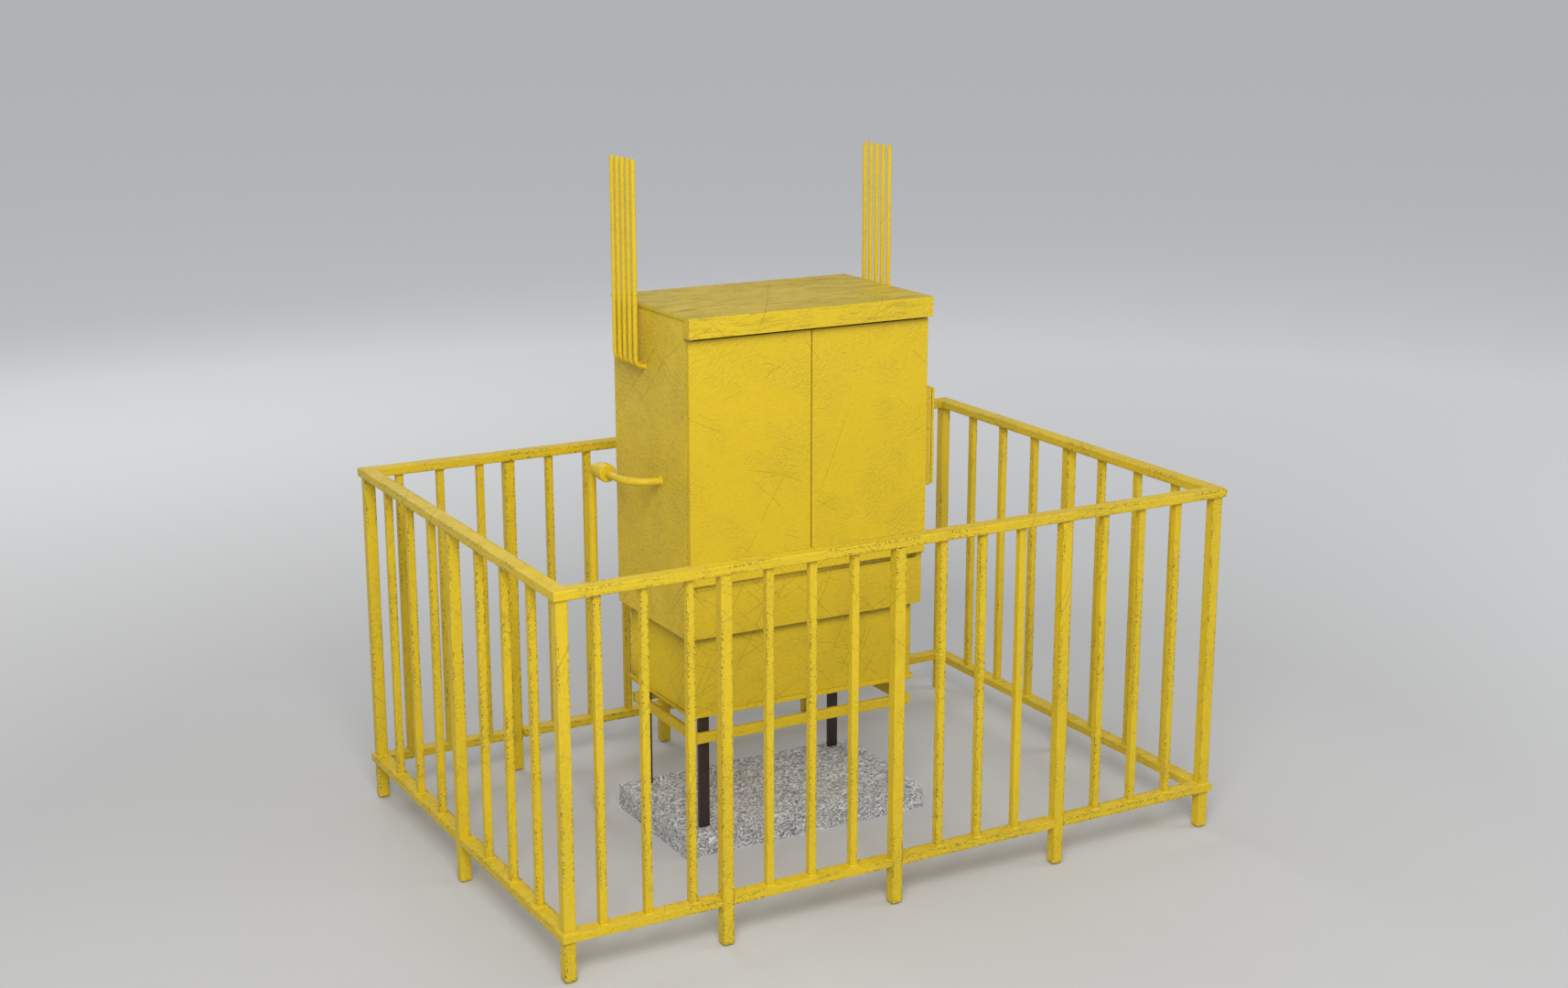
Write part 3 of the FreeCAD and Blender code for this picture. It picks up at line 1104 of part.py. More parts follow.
node("instrument_box", [fuse("instrument_box_whole", [box_shell] + ears)])

lid_leaf = block("lid_leaf", (LID_X, "-box_front", "box_bottom + lid_inset"),
                 ("lid_thick", "box_length", "box_height - 2*lid_inset"))
lid_hollow = block("lid_hollow", (LID_X + " - sheet", "-box_front + sheet", "box_bottom + lid_inset + sheet"),
                   ("lid_thick", "box_length - 2*sheet - 3*lid_edge", "box_height - 2*lid_inset - 2*sheet"))
lid_bores = [rod("lid_bore_" + end, (LID_AXIS[0], LID_AXIS[1], z), "lid_pin + running_gap", "4*lid_inset")
             for end, z in (("top", BOX_TOP + " - 4*lid_inset"), ("bottom", "box_bottom"))]
node("instrument_box_lid", [cut("lid_bored", lid_leaf, [lid_hollow] + lid_bores)])


# ---------------------------------------------------------------- checks and files

doc.removeObject("Probe")
doc.recompute()
faults = ["%s: %s" % (thing.Name, ", ".join(thing.State)) for thing in doc.Objects
          if "Invalid" in thing.State or "Error" in thing.State]
for thing in NODES:
    shape = thing.Shape
    if shape.isNull() or not shape.isValid() or not shape.Solids:
        faults.append(thing.Label + ": empty or not valid")
if len({thing.Label for thing in NODES}) != len(NODES):
    faults.append("two sub-parts share one name")
if faults:
    raise RuntimeError("; ".join(faults))

os.makedirs("parts", exist_ok=True)
for thing in NODES:
    thing.Shape.exportStep("parts/%s.step" % thing.Label)
print("%d sub-parts, %d solids" % (len(NODES), sum(len(thing.Shape.Solids) for thing in NODES)))
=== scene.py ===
"""A gas pressure-regulating cabinet on legs, inside its guard railing, painted yellow and weathered.

Metres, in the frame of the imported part: the doors face -Y and Z is up.
"""
import math
import random

import bmesh
import bpy
from mathutils import Matrix, Vector, noise


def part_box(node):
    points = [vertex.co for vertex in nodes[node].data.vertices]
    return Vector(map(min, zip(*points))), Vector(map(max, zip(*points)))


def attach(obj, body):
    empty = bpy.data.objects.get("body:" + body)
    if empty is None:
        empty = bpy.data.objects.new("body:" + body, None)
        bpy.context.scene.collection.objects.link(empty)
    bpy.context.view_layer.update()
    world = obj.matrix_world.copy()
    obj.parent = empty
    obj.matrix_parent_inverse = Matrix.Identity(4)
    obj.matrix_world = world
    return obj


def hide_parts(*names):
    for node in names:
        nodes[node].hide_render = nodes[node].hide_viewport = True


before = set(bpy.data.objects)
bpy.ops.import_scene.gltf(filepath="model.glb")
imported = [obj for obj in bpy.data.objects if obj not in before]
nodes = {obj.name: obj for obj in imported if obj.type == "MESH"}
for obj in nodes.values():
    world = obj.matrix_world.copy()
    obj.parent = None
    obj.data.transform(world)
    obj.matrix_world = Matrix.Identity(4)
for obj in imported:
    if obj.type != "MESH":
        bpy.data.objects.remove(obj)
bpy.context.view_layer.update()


# ---- Studio -------------------------------------------------------------------------------------
# A floor that runs out of sight, grey near the middle and paler further out: painted light, standing in
# for light the lamps don't carry that far. One large soft light in front and to the left, weaker ones on the
# right and behind, and even light from all round. The camera looks down on the front left corner.

FLOOR_REACH = 260
FLOOR_NEAR, FLOOR_FAR = 3.5, 12.0
FLOOR_GREY = (0.52, 0.52, 0.515, 1)
FLOOR_PALE_PAINTED_LIGHT = (0.97, 0.97, 0.96, 1)
SKY = (0.93, 0.95, 1.0, 1)
SKY_STRENGTH = 0.48

floor = bmesh.new()
bmesh.ops.create_grid(floor, x_segments=8, y_segments=8, size=FLOOR_REACH)
floor_mesh = bpy.data.meshes.new("studio_floor")
floor.to_mesh(floor_mesh)
floor.free()
studio_floor = bpy.data.objects.new("studio_floor", floor_mesh)
bpy.context.scene.collection.objects.link(studio_floor)
floor_paint = bpy.data.materials.new("studio_floor")
floor_paint.use_nodes = True
floor_shader = floor_paint.node_tree.nodes["Principled BSDF"]
floor_shader.inputs["Roughness"].default_value = 0.85
floor_place = floor_paint.node_tree.nodes.new("ShaderNodeTexCoord")
floor_reach = floor_paint.node_tree.nodes.new("ShaderNodeVectorMath")
floor_reach.operation = "LENGTH"
# Painted light: the floor goes from grey near the middle to pale far out, where the lamps' light falls off.
floor_painted_light = floor_paint.node_tree.nodes.new("ShaderNodeMapRange")
floor_painted_light.inputs["From Min"].default_value = FLOOR_NEAR
floor_painted_light.inputs["From Max"].default_value = FLOOR_FAR
floor_blend = floor_paint.node_tree.nodes.new("ShaderNodeMix")
floor_blend.data_type = "RGBA"
floor_blend.inputs[6].default_value = FLOOR_GREY
floor_blend.inputs[7].default_value = FLOOR_PALE_PAINTED_LIGHT
floor_paint.node_tree.links.new(floor_place.outputs["Object"], floor_reach.inputs[0])
floor_paint.node_tree.links.new(floor_reach.outputs["Value"], floor_painted_light.inputs["Value"])
floor_paint.node_tree.links.new(floor_painted_light.outputs["Result"], floor_blend.inputs[0])
floor_paint.node_tree.links.new(floor_blend.outputs[2], floor_shader.inputs["Base Color"])
floor_mesh.materials.append(floor_paint)

bpy.context.scene.view_settings.view_transform = "Standard"
world = bpy.data.worlds.new("studio")
bpy.context.scene.world = world
world.use_nodes = True
world.node_tree.nodes["Background"].inputs["Color"].default_value = SKY
world.node_tree.nodes["Background"].inputs["Strength"].default_value = SKY_STRENGTH


def soft_light(name, place, aim, size, power, tint):
    """A square soft light at a place, turned to face a point."""
    lamp = bpy.data.lights.new(name, "AREA")
    lamp.size = size
    lamp.energy = power
    lamp.color = tint
    light = bpy.data.objects.new(name, lamp)
    bpy.context.scene.collection.objects.link(light)
    light.location = place
    light.rotation_euler = (Vector(aim) - Vector(place)).to_track_quat("-Z", "Y").to_euler()


soft_light("front_light", (-5.0, -8.8, 8.6), (0, 0, 1.3), 5.5, 1180, (1.0, 0.985, 0.96))
soft_light("right_light", (9.0, -4.0, 6.5), (0, 0, 1.2), 5.0, 230, (0.96, 0.98, 1.0))
soft_light("rear_light", (-1.0, 9.5, 8.0), (0, 0, 1.2), 5.0, 250, (1.0, 1.0, 1.0))

camera = bpy.data.objects.new("camera", bpy.data.cameras.new("camera"))
bpy.context.scene.collection.objects.link(camera)
camera.data.lens = 50
camera.data.sensor_width = 36
camera.data.clip_end = 1000
camera.location = (-4.638, -8.262, 3.957)
camera.rotation_euler = (math.radians(75.603), 0, math.radians(-29.306))
bpy.context.scene.camera = camera


# ---- Yellow enamel ------------------------------------------------------------------------------
# Thick brushed enamel on steel, some years old: a fine ridged grain from the brush, cloudy fading,
# thin scratches, chips down to the dark primer, most of them along the folded edges, and a soft
# band of painted shadow below an overhanging edge, darkest nearest the edge.

SCRATCH_CELLS = 2.3          # places along a metre of a row where a scratch can lie
SCRATCH_DARKNESS = 0.46
CHIP_DARKNESS = 0.85
HOLLOW_DARKNESS = 0.11
# How dark the band of painted shadow below an overhanging edge is, and how far down it reaches.
PAINTED_SHADOW_DARKNESS = 0.34
PAINTED_SHADOW_REACH = 0.055
ENAMEL_RELIEF = 0.0042
NO_SHADOW_EDGE = 50.0            # an edge far above everything


def add(tree, kind, inputs=None, **settings):
    """A shader node with its settings, and with a value or a link for each input named."""
    made = tree.nodes.new("ShaderNode" + kind)
    for key, value in settings.items():
        setattr(made, key, value)
    for key, value in (inputs or {}).items():
        if isinstance(value, bpy.types.NodeSocket):
            tree.links.new(value, made.inputs[key])
        else:
            made.inputs[key].default_value = value
    return made


def new_group(name, takes, gives):
    """An empty shader group with its named inputs and outputs."""
    tree = bpy.data.node_groups.new(name, "ShaderNodeTree")
    for title, kind, value in takes:
        socket = tree.interface.new_socket(name=title, in_out="INPUT", socket_type="NodeSocket" + kind)
        if value is not None:
            socket.default_value = value
    for title, kind in gives:
        tree.interface.new_socket(name=title, in_out="OUTPUT", socket_type="NodeSocket" + kind)
    return tree, tree.nodes.new("NodeGroupInput"), tree.nodes.new("NodeGroupOutput")


def remap(tree, value, low, high, to_low=0.0, to_high=1.0):
    """The value, stretched from one range to another and held inside it."""
    return add(tree, "MapRange", {0: value, 1: low, 2: high, 3: to_low, 4: to_high},
               interpolation_type="SMOOTHSTEP").outputs[0]


def math_of(tree, operation, first, second=0.0):
    """One sum on one or two values."""
    return add(tree, "Math", {0: first, 1: second}, operation=operation).outputs[0]


def blend_of(tree, factor, first, second):
    """One colour laid over another."""
    return add(tree, "Mix", {0: factor, 6: first, 7: second}, data_type="RGBA").outputs[2]


def noise_of(tree, vector, scale, detail=2.0, roughness=0.5, distortion=0.0):
    """Cloudy noise from 0 to 1."""
    return add(tree, "TexNoise", {"Vector": vector, "Scale": scale, "Detail": detail, "Roughness": roughness,
                                  "Distortion": distortion}).outputs["Fac"]


def stretched_noise(tree, vector, turn, stretch, detail=2.0, distortion=0.0):
    """Noise drawn out into strokes: the position is turned, then stretched along each axis."""
    turned = add(tree, "VectorRotate", {"Vector": vector, "Rotation": turn}, rotation_type="EULER_XYZ")
    drawn = add(tree, "VectorMath", {0: turned.outputs[0], 1: stretch}, operation="MULTIPLY")
    return noise_of(tree, drawn.outputs[0], 1.0, detail, 0.55, distortion)


scratches, take, give = new_group(
    "scratches", [("Vector", "Vector", None), ("Across", "Vector", (0, 0, 1)), ("Along", "Vector", (1, 0, 0)),
                  ("Rows", "Float", 40.0), ("Width", "Float", 0.0015), ("Share", "Float", 0.15)],
    [("Mask", "Float")])
across = add(scratches, "VectorMath", {0: take.outputs["Vector"], 1: take.outputs["Across"]},
             operation="DOT_PRODUCT")
along = add(scratches, "VectorMath", {0: take.outputs["Vector"], 1: take.outputs["Along"]},
            operation="DOT_PRODUCT")
row_place = math_of(scratches, "MULTIPLY", across.outputs["Value"], take.outputs["Rows"])
row = math_of(scratches, "FLOOR", row_place)
draw = add(scratches, "TexWhiteNoise", {"W": row}, noise_dimensions="1D").outputs["Value"]
line_place = remap(scratches, draw, 0.0, 1.0, 0.2, 0.8)
off_line = math_of(scratches, "ABSOLUTE", math_of(scratches, "SUBTRACT", math_of(
    scratches, "FRACT", row_place), line_place))
line_width = math_of(scratches, "MULTIPLY", take.outputs["Width"], take.outputs["Rows"])
line = math_of(scratches, "SUBTRACT", 1.0, math_of(scratches, "DIVIDE", off_line, line_width))
line = math_of(scratches, "MAXIMUM", line, 0.0)
row_shift = math_of(scratches, "MULTIPLY", draw, 37.0)
cells_along = math_of(scratches, "MULTIPLY", along.outputs["Value"], SCRATCH_CELLS)
stretch_place = math_of(scratches, "ADD", cells_along, row_shift)
cell = add(scratches, "CombineXYZ", {"X": row, "Y": math_of(scratches, "FLOOR", stretch_place)})
chosen = math_of(scratches, "LESS_THAN", add(scratches, "TexWhiteNoise", {"Vector": cell.outputs[0]},
                                             noise_dimensions="2D").outputs["Value"], take.outputs["Share"])
from_middle = math_of(scratches, "ABSOLUTE", math_of(scratches, "SUBTRACT", math_of(
    scratches, "FRACT", stretch_place), 0.5))
taper = remap(scratches, from_middle, 0.25, 0.5, 1.0, 0.0)
scratches.links.new(math_of(scratches, "MULTIPLY", math_of(scratches, "MULTIPLY", line, chosen), taper),
                    give.inputs["Mask"])

enamel, take, give = new_group(
    "weathered_enamel",
    [("Paint", "Color", (0.7, 0.5, 0.03, 1)), ("Faded", "Color", (0.6, 0.45, 0.05, 1)),
     ("Primer", "Color", (0.06, 0.045, 0.015, 1)), ("Grain", "Vector", (90, 90, 900)),
     ("Grain Depth", "Float", 0.25), ("Streaks", "Float", 0.1), ("Wear", "Float", 1.0),
     ("Flecks", "Float", 0.5), ("Shadow Edge", "Float", NO_SHADOW_EDGE)],
    [("Color", "Color"), ("Roughness", "Float"), ("Normal", "Vector")])
place = add(enamel, "TexCoord").outputs["Object"]
warp = add(enamel, "TexNoise", {"Vector": place, "Scale": 1.7, "Detail": 1.0}).outputs["Color"]
bow = add(enamel, "VectorMath", {0: warp, 1: (0.09, 0.09, 0.09)}, operation="MULTIPLY").outputs[0]
bowed = add(enamel, "VectorMath", {0: place, 1: bow}, operation="ADD").outputs[0]
brushed = add(enamel, "VectorMath", {0: bowed, 1: take.outputs["Grain"]}, operation="MULTIPLY").outputs[0]
grain = noise_of(enamel, brushed, 1.0, 3.0, 0.6, 0.3)
leather = noise_of(enamel, place, 60.0, 3.0, 0.62, 0.9)
sweep = None
for turn, low_edge in (((0.3, 0.75, 0.5), 0.50), ((0.2, -0.85, 0.4), 0.53), ((0.5, 0.2, 1.9), 0.55)):
    strokes = stretched_noise(enamel, bowed, turn, (20, 150, 150), 2.0, 0.2)
    patches = stretched_noise(enamel, place, turn, (2.6, 4.2, 4.2), 1.0)
    where = remap(enamel, patches, low_edge, low_edge + 0.09)
    layer = math_of(enamel, "MULTIPLY", math_of(enamel, "SUBTRACT", strokes, 0.5), where)
    sweep = layer if sweep is None else math_of(enamel, "ADD", sweep, layer)
cloud = noise_of(enamel, place, 2.1, 4.0, 0.55)
smear = noise_of(enamel, place, 19.0, 5.0, 0.65, 0.6)
tone = remap(enamel, math_of(enamel, "ADD", math_of(enamel, "MULTIPLY", cloud, 0.6),
                             math_of(enamel, "MULTIPLY", smear, 0.4)), 0.36, 0.64)
coat = blend_of(enamel, tone, take.outputs["Paint"], take.outputs["Faded"])
hollows = math_of(enamel, "ADD", math_of(enamel, "ADD", math_of(enamel, "MULTIPLY", leather, 0.5),
                                         math_of(enamel, "MULTIPLY", grain, 0.5)), sweep)
in_hollow = remap(enamel, hollows, 0.28, 0.54, HOLLOW_DARKNESS, 0.0)
coat = blend_of(enamel, in_hollow, coat, take.outputs["Primer"])
streaks = remap(enamel, grain, 0.36, 0.47, 1.0, 0.0)
streaks = math_of(enamel, "MULTIPLY", streaks, take.outputs["Streaks"])
coat = blend_of(enamel, streaks, coat, take.outputs["Primer"])
marks = None
height_up = add(enamel, "SeparateXYZ", {0: place}).outputs["Z"]
lower = remap(enamel, height_up, 1.0, 1.9, 1.0, 0.35)
scuffed = remap(enamel, noise_of(enamel, place, 3.1, 2.0), 0.46, 0.62, 0.02, 0.26)
group_place = math_of(enamel, "MULTIPLY", lower, scuffed)
for across, along, rows, width in (((0.62, 0.50, 0.60), (0.70, 0.0, -0.72), 46.0, 0.0013),
                                   ((0.35, 0.60, -0.72), (0.90, -0.1, 0.43), 60.0, 0.0011),
                                   ((-0.80, 0.45, 0.40), (0.45, 0.1, 0.88), 38.0, 0.0016),
                                   ((0.30, -0.55, 0.78), (0.93, 0.0, -0.36), 54.0, 0.0012)):
    layer = enamel.nodes.new("ShaderNodeGroup")
    layer.node_tree = scratches
    enamel.links.new(bowed, layer.inputs["Vector"])
    layer.inputs["Across"].default_value = across
    layer.inputs["Along"].default_value = along
    layer.inputs["Rows"].default_value = rows
    layer.inputs["Width"].default_value = width
    enamel.links.new(math_of(enamel, "MULTIPLY", group_place, take.outputs["Wear"]), layer.inputs["Share"])
    marks = layer.outputs[0] if marks is None else math_of(enamel, "MAXIMUM", marks, layer.outputs[0])
spots = noise_of(enamel, place, 150.0, 5.0, 0.66)
region = remap(enamel, noise_of(enamel, place, 4.0, 3.0), 0.52, 0.70)
fleck_line = math_of(enamel, "SUBTRACT", 0.83, math_of(
    enamel, "MULTIPLY", math_of(enamel, "MULTIPLY", region, take.outputs["Flecks"]), 0.15))
flecks = remap(enamel, math_of(enamel, "SUBTRACT", spots, fleck_line), -0.01, 0.012)
edge = add(enamel, "Attribute", attribute_name="worn_edge").outputs["Fac"]
chipped_stretch = remap(enamel, noise_of(enamel, place, 2.6, 2.0), 0.42, 0.52)
small_chips = remap(enamel, noise_of(enamel, place, 110.0, 3.0, 0.6), 0.54, 0.57)
edge_chips = math_of(enamel, "MULTIPLY", chipped_stretch, math_of(enamel, "MULTIPLY", edge, small_chips))
chips = math_of(enamel, "MAXIMUM", flecks, math_of(enamel, "MULTIPLY", edge_chips, take.outputs["Wear"]))
coat = blend_of(enamel, math_of(enamel, "MULTIPLY", marks, SCRATCH_DARKNESS), coat, take.outputs["Primer"])
coat = blend_of(enamel, math_of(enamel, "MULTIPLY", chips, CHIP_DARKNESS), coat, take.outputs["Primer"])
# Painted shadow: below the edge given, the colour is darkened towards the primer, most at the edge.
below_edge = math_of(enamel, "SUBTRACT", take.outputs["Shadow Edge"], height_up)
painted_shadow = math_of(enamel, "MULTIPLY", remap(enamel, below_edge, 0.0, PAINTED_SHADOW_REACH, PAINTED_SHADOW_DARKNESS, 0.0),
                math_of(enamel, "GREATER_THAN", below_edge, 0.0))
coat = blend_of(enamel, painted_shadow, coat, take.outputs["Primer"])
enamel.links.new(coat, give.inputs["Color"])
dulled = math_of(enamel, "ADD", smear, math_of(enamel, "MULTIPLY", marks, 0.4))
enamel.links.new(remap(enamel, dulled, 0.35, 0.9, 0.42, 0.68), give.inputs["Roughness"])
height = math_of(enamel, "SUBTRACT", math_of(enamel, "MULTIPLY", hollows, 2.0),
                 math_of(enamel, "ADD", math_of(enamel, "MULTIPLY", marks, 0.5), chips))
relief = add(enamel, "Bump", {"Strength": take.outputs["Grain Depth"], "Distance": ENAMEL_RELIEF,
                              "Height": height})
enamel.links.new(relief.outputs[0], give.inputs["Normal"])


def enamel_finish(name, paint, faded, grain, depth, streaks, wear, flecks, shadow_edge=NO_SHADOW_EDGE, specular=0.33):
    """A painted finish: its two tones, how the brush ran, how worn it is and the edge that casts painted
    shadow on it.
    """
    finish = bpy.data.materials.new(name)
    finish.use_nodes = True
    tree = finish.node_tree
    shader = tree.nodes["Principled BSDF"]
    coat_node = tree.nodes.new("ShaderNodeGroup")
    coat_node.node_tree = enamel
    coat_node.inputs["Paint"].default_value = (*paint, 1)
    coat_node.inputs["Faded"].default_value = (*faded, 1)
    coat_node.inputs["Grain"].default_value = grain
    coat_node.inputs["Grain Depth"].default_value = depth
    coat_node.inputs["Streaks"].default_value = streaks
    coat_node.inputs["Wear"].default_value = wear
    coat_node.inputs["Flecks"].default_value = flecks
    coat_node.inputs["Shadow Edge"].default_value = shadow_edge
    tree.links.new(coat_node.outputs["Color"], shader.inputs["Base Color"])
    tree.links.new(coat_node.outputs["Roughness"], shader.inputs["Roughness"])
    tree.links.new(coat_node.outputs["Normal"], shader.inputs["Normal"])
    shader.inputs["Specular IOR Level"].default_value = specular
    return finish


YELLOW = (0.680, 0.482, 0.012)
FADED_YELLOW = (0.645, 0.458, 0.015)
# The two yellows below are darker copies of the paint for the apron and the plinth: painted shade, for the
# low faces that get less light.
SHADED_LOW_YELLOW = (0.637, 0.454, 0.012)
SHADED_LOW_FADED = (0.608, 0.434, 0.014)
# The lower edges of the visor, the doors and the cabinet, which cast painted shadow on the doors, the apron
# and the plinth.
visor_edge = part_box("roof_cap")[0].z
door_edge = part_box("left_door")[0].z
cabinet_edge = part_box("cabinet_apron")[0].z
railing_enamel = enamel_finish("railing_enamel", YELLOW, FADED_YELLOW, grain=(120, 120, 30), depth=0.50,
                               streaks=0.06, wear=0.8, flecks=0.9)
rail_enamel = enamel_finish("rail_enamel", YELLOW, FADED_YELLOW, grain=(30, 30, 120), depth=0.55,
                            streaks=0.10, wear=0.8, flecks=0.8)
# The doors' paint is a touch darker copy of the yellow: painted shade, set to how much light the door faces
# get.
door_enamel = enamel_finish("door_enamel", (0.660, 0.467, 0.011), (0.650, 0.460, 0.012), grain=(60, 60, 90),
                            depth=0.55, streaks=0.0, wear=0.45, flecks=0.3, shadow_edge=visor_edge)
apron_enamel = enamel_finish("apron_enamel", SHADED_LOW_YELLOW, SHADED_LOW_FADED, grain=(60, 60, 90), depth=0.60,
                             streaks=0.04, wear=1.1, flecks=0.5, shadow_edge=door_edge)
plinth_enamel = enamel_finish("plinth_enamel", SHADED_LOW_YELLOW, SHADED_LOW_FADED, grain=(60, 60, 90), depth=0.60,
                              streaks=0.04, wear=1.1, flecks=0.5, shadow_edge=cabinet_edge)
# The walls' paint is a lighter copy of the yellow: painted light, for side faces that the light reaches less.
wall_enamel = enamel_finish("wall_enamel", (0.722, 0.512, 0.014), YELLOW, grain=(80, 26, 80), depth=0.80,
                            streaks=0.08, wear=0.7, flecks=0.4, specular=0.5)
# The roof's paint is a darker copy of the yellow: painted shade, for a top that the light from the front
# reaches less.
roof_enamel = enamel_finish("roof_enamel", (0.61, 0.438, 0.018), (0.53, 0.385, 0.020), grain=(5, 75, 75),
                            depth=0.90, streaks=0.42, wear=1.2, flecks=0.4)
visor_enamel = enamel_finish("visor_enamel", YELLOW, FADED_YELLOW, grain=(5, 85, 85), depth=0.60,
                             streaks=0.22, wear=0.9, flecks=0.4)
pipe_enamel = enamel_finish("pipe_enamel", YELLOW, FADED_YELLOW, grain=(100, 100, 50), depth=0.40,
                            streaks=0.08, wear=0.4, flecks=0.6)


# ---- Guard railing ------------------------------------------------------------------------------
# Square steel tube, mitred and welded into a closed ring of rails, with posts that run down to domed
# feet and thinner infill bars. The bars and the corner posts have a fillet weld under the paint where they
# meet the rails.

SAME_POINT = 0.00002
FLAT_WITHIN = math.radians(0.4)
SMOOTH_WITHIN = math.radians(38)
SHEET_EDGE = 0.0008          # how far an edge is rounded, by what the piece is made of
DOOR_EDGE = 0.0010
TUBE_EDGE = 0.0012
RUBBER_EDGE = 0.0012
TURNED_EDGE = 0.0012
CAST_EDGE = 0.0016
SMALL_EDGE = 0.0006
TUBE_SHARPNESS = 44          # degrees: leaves the tubes' own rounded corners alone
TURNED_SHARPNESS = 40


def from_cad(part):
    """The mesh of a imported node, with its doubles merged and its flat faces made whole."""
    mesh = bmesh.new()
    mesh.from_mesh(nodes[part].data)
    bmesh.ops.remove_doubles(mesh, verts=mesh.verts, dist=SAME_POINT)
    bmesh.ops.dissolve_limit(mesh, angle_limit=FLAT_WITHIN, verts=mesh.verts, edges=mesh.edges)
    return mesh


def ease_edges(mesh, width, steps=2, sharpness=30):
    """Rounds every edge that is sharper than an angle, and marks the new faces as the ones that chip."""
    worn = mesh.faces.layers.float.get("worn_edge") or mesh.faces.layers.float.new("worn_edge")
    sharp = [edge for edge in mesh.edges if edge.is_manifold and edge.calc_length() > width
             and edge.calc_face_angle() > math.radians(sharpness)]
    rounded = bmesh.ops.bevel(mesh, geom=sharp, offset=width, offset_type="OFFSET", affect="EDGES",
                              segments=steps, profile=0.5, material=-1, clamp_overlap=True)
    for face in rounded["faces"]:
        face[worn] = 1.0
    return mesh


def keep_piece(mesh, name, body, finish, stands_for=()):
    """Makes the finished mesh an object of the model, on its body, with its finish."""
    data = bpy.data.meshes.new(name)
    mesh.to_mesh(data)
    mesh.free()
    data.shade_smooth()
    data.set_sharp_from_angle(angle=SMOOTH_WITHIN)
    data.materials.clear()
    data.materials.append(finish)
    for face in data.polygons:
        face.material_index = 0
    piece = bpy.data.objects.new(name, data)
    bpy.context.scene.collection.objects.link(piece)
    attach(piece, body)
    flat = piece.modifiers.new("flat_faces_stay_flat", "WEIGHTED_NORMAL")
    flat.keep_sharp = True
    if stands_for:
        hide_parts(*stands_for)
    return piece


SQUARE_ON = 0.985            # how far a face's normal lies along an axis when the face is a flat one
RAIL_MARGIN = 0.009
POST_MARGIN = 0.006


def mark_rounds(mesh, margin):
    """Marks the tubes' rounded corners and a margin beside them, where the paint chips first."""
    worn = mesh.faces.layers.float.get("worn_edge") or mesh.faces.layers.float.new("worn_edge")
    flats = []
    for face in mesh.faces:
        if max(abs(part) for part in face.normal) < SQUARE_ON:
            face[worn] = 1.0
        elif len(face.verts) == 4 and min(edge.calc_length() for edge in face.edges) > 3 * margin:
            flats.append(face)
    for face in bmesh.ops.inset_individual(mesh, faces=flats, thickness=margin)["faces"]:
        face[worn] = 0.9
    return mesh


for part in ("fence_top_rail_front", "fence_top_rail_rear", "fence_top_rail_left", "fence_top_rail_right",
             "fence_bottom_rails_long", "fence_bottom_rails_short"):
    rail_mesh = ease_edges(mark_rounds(from_cad(part), RAIL_MARGIN), TUBE_EDGE, 1, TUBE_SHARPNESS)
    keep_piece(rail_mesh, part + "_painted", "station", rail_enamel, (part,))
for part in ("fence_corner_posts", "fence_long_side_posts", "fence_short_side_posts", "fence_bars_front",
             "fence_bars_rear", "fence_bars_left", "fence_bars_right"):
    keep_piece(mark_rounds(from_cad(part), POST_MARGIN), part + "_painted", "station",
               railing_enamel, (part,))


def loose_boxes(part):
    """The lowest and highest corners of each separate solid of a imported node."""
    mesh = from_cad(part)
    waiting = dict.fromkeys(mesh.verts)
    found = []
    while waiting:
        group = [waiting.popitem()[0]]
        for vert in group:
            for edge in vert.link_edges:
                other = edge.other_vert(vert)
                if other in waiting:
                    del waiting[other]
                    group.append(other)
        low = Vector([min(vert.co[axis] for vert in group) for axis in range(3)])
        high = Vector([max(vert.co[axis] for vert in group) for axis in range(3)])
        found.append((low, high))
    mesh.free()
    return found


WELD_LEG = 0.0045
WELD_RIPPLE = 0.0005
dice = random.Random(11)


def edges_of(verts):
    """Each edge that meets the points, once, in an order that is the same on every run."""
    return list(dict.fromkeys(edge for vert in verts for edge in vert.link_edges))


def square_weld(mesh, low, high, z, up):
    """A fillet weld round the end of a square tube that stands on (up = 1) or hangs from a rail (-1)."""
    centre = Vector(((low.x + high.x) / 2, (low.y + high.y) / 2, z))
    half = (high.x - low.x) / 2
    ring = bmesh.ops.create_circle(mesh, segments=4, radius=(half + WELD_LEG) * math.sqrt(2),
                                   matrix=Matrix.Translation(centre) @ Matrix.Rotation(math.pi / 4, 4, "Z"))
    edges = edges_of(ring["verts"])
    bmesh.ops.subdivide_edges(mesh, edges=edges, cuts=7)
    verts = [vert for vert in mesh.verts
             if abs(vert.co.z - z) < 1e-6 and (vert.co - centre).length < half * 1.7]
    edges = edges_of(verts)
    for rise, reach in ((0.45, 0.40), (1.0, -0.04)):
        grown = bmesh.ops.extrude_edge_only(mesh, edges=edges)
        moved = [item for item in grown["geom"] if isinstance(item, bmesh.types.BMVert)]
        edges = [item for item in grown["geom"] if isinstance(item, bmesh.types.BMEdge)]
        share = (half + WELD_LEG * reach) / max(max(abs(vert.co.x - centre.x), abs(vert.co.y - centre.y))
                                                for vert in moved)
        for vert in moved:
            ripple = dice.uniform(-WELD_RIPPLE, WELD_RIPPLE) if rise < 1 else 0.0
            vert.co.x = centre.x + (vert.co.x - centre.x) * share + ripple
            vert.co.y = centre.y + (vert.co.y - centre.y) * share + ripple
            vert.co.z = z + up * (WELD_LEG * rise + ripple)


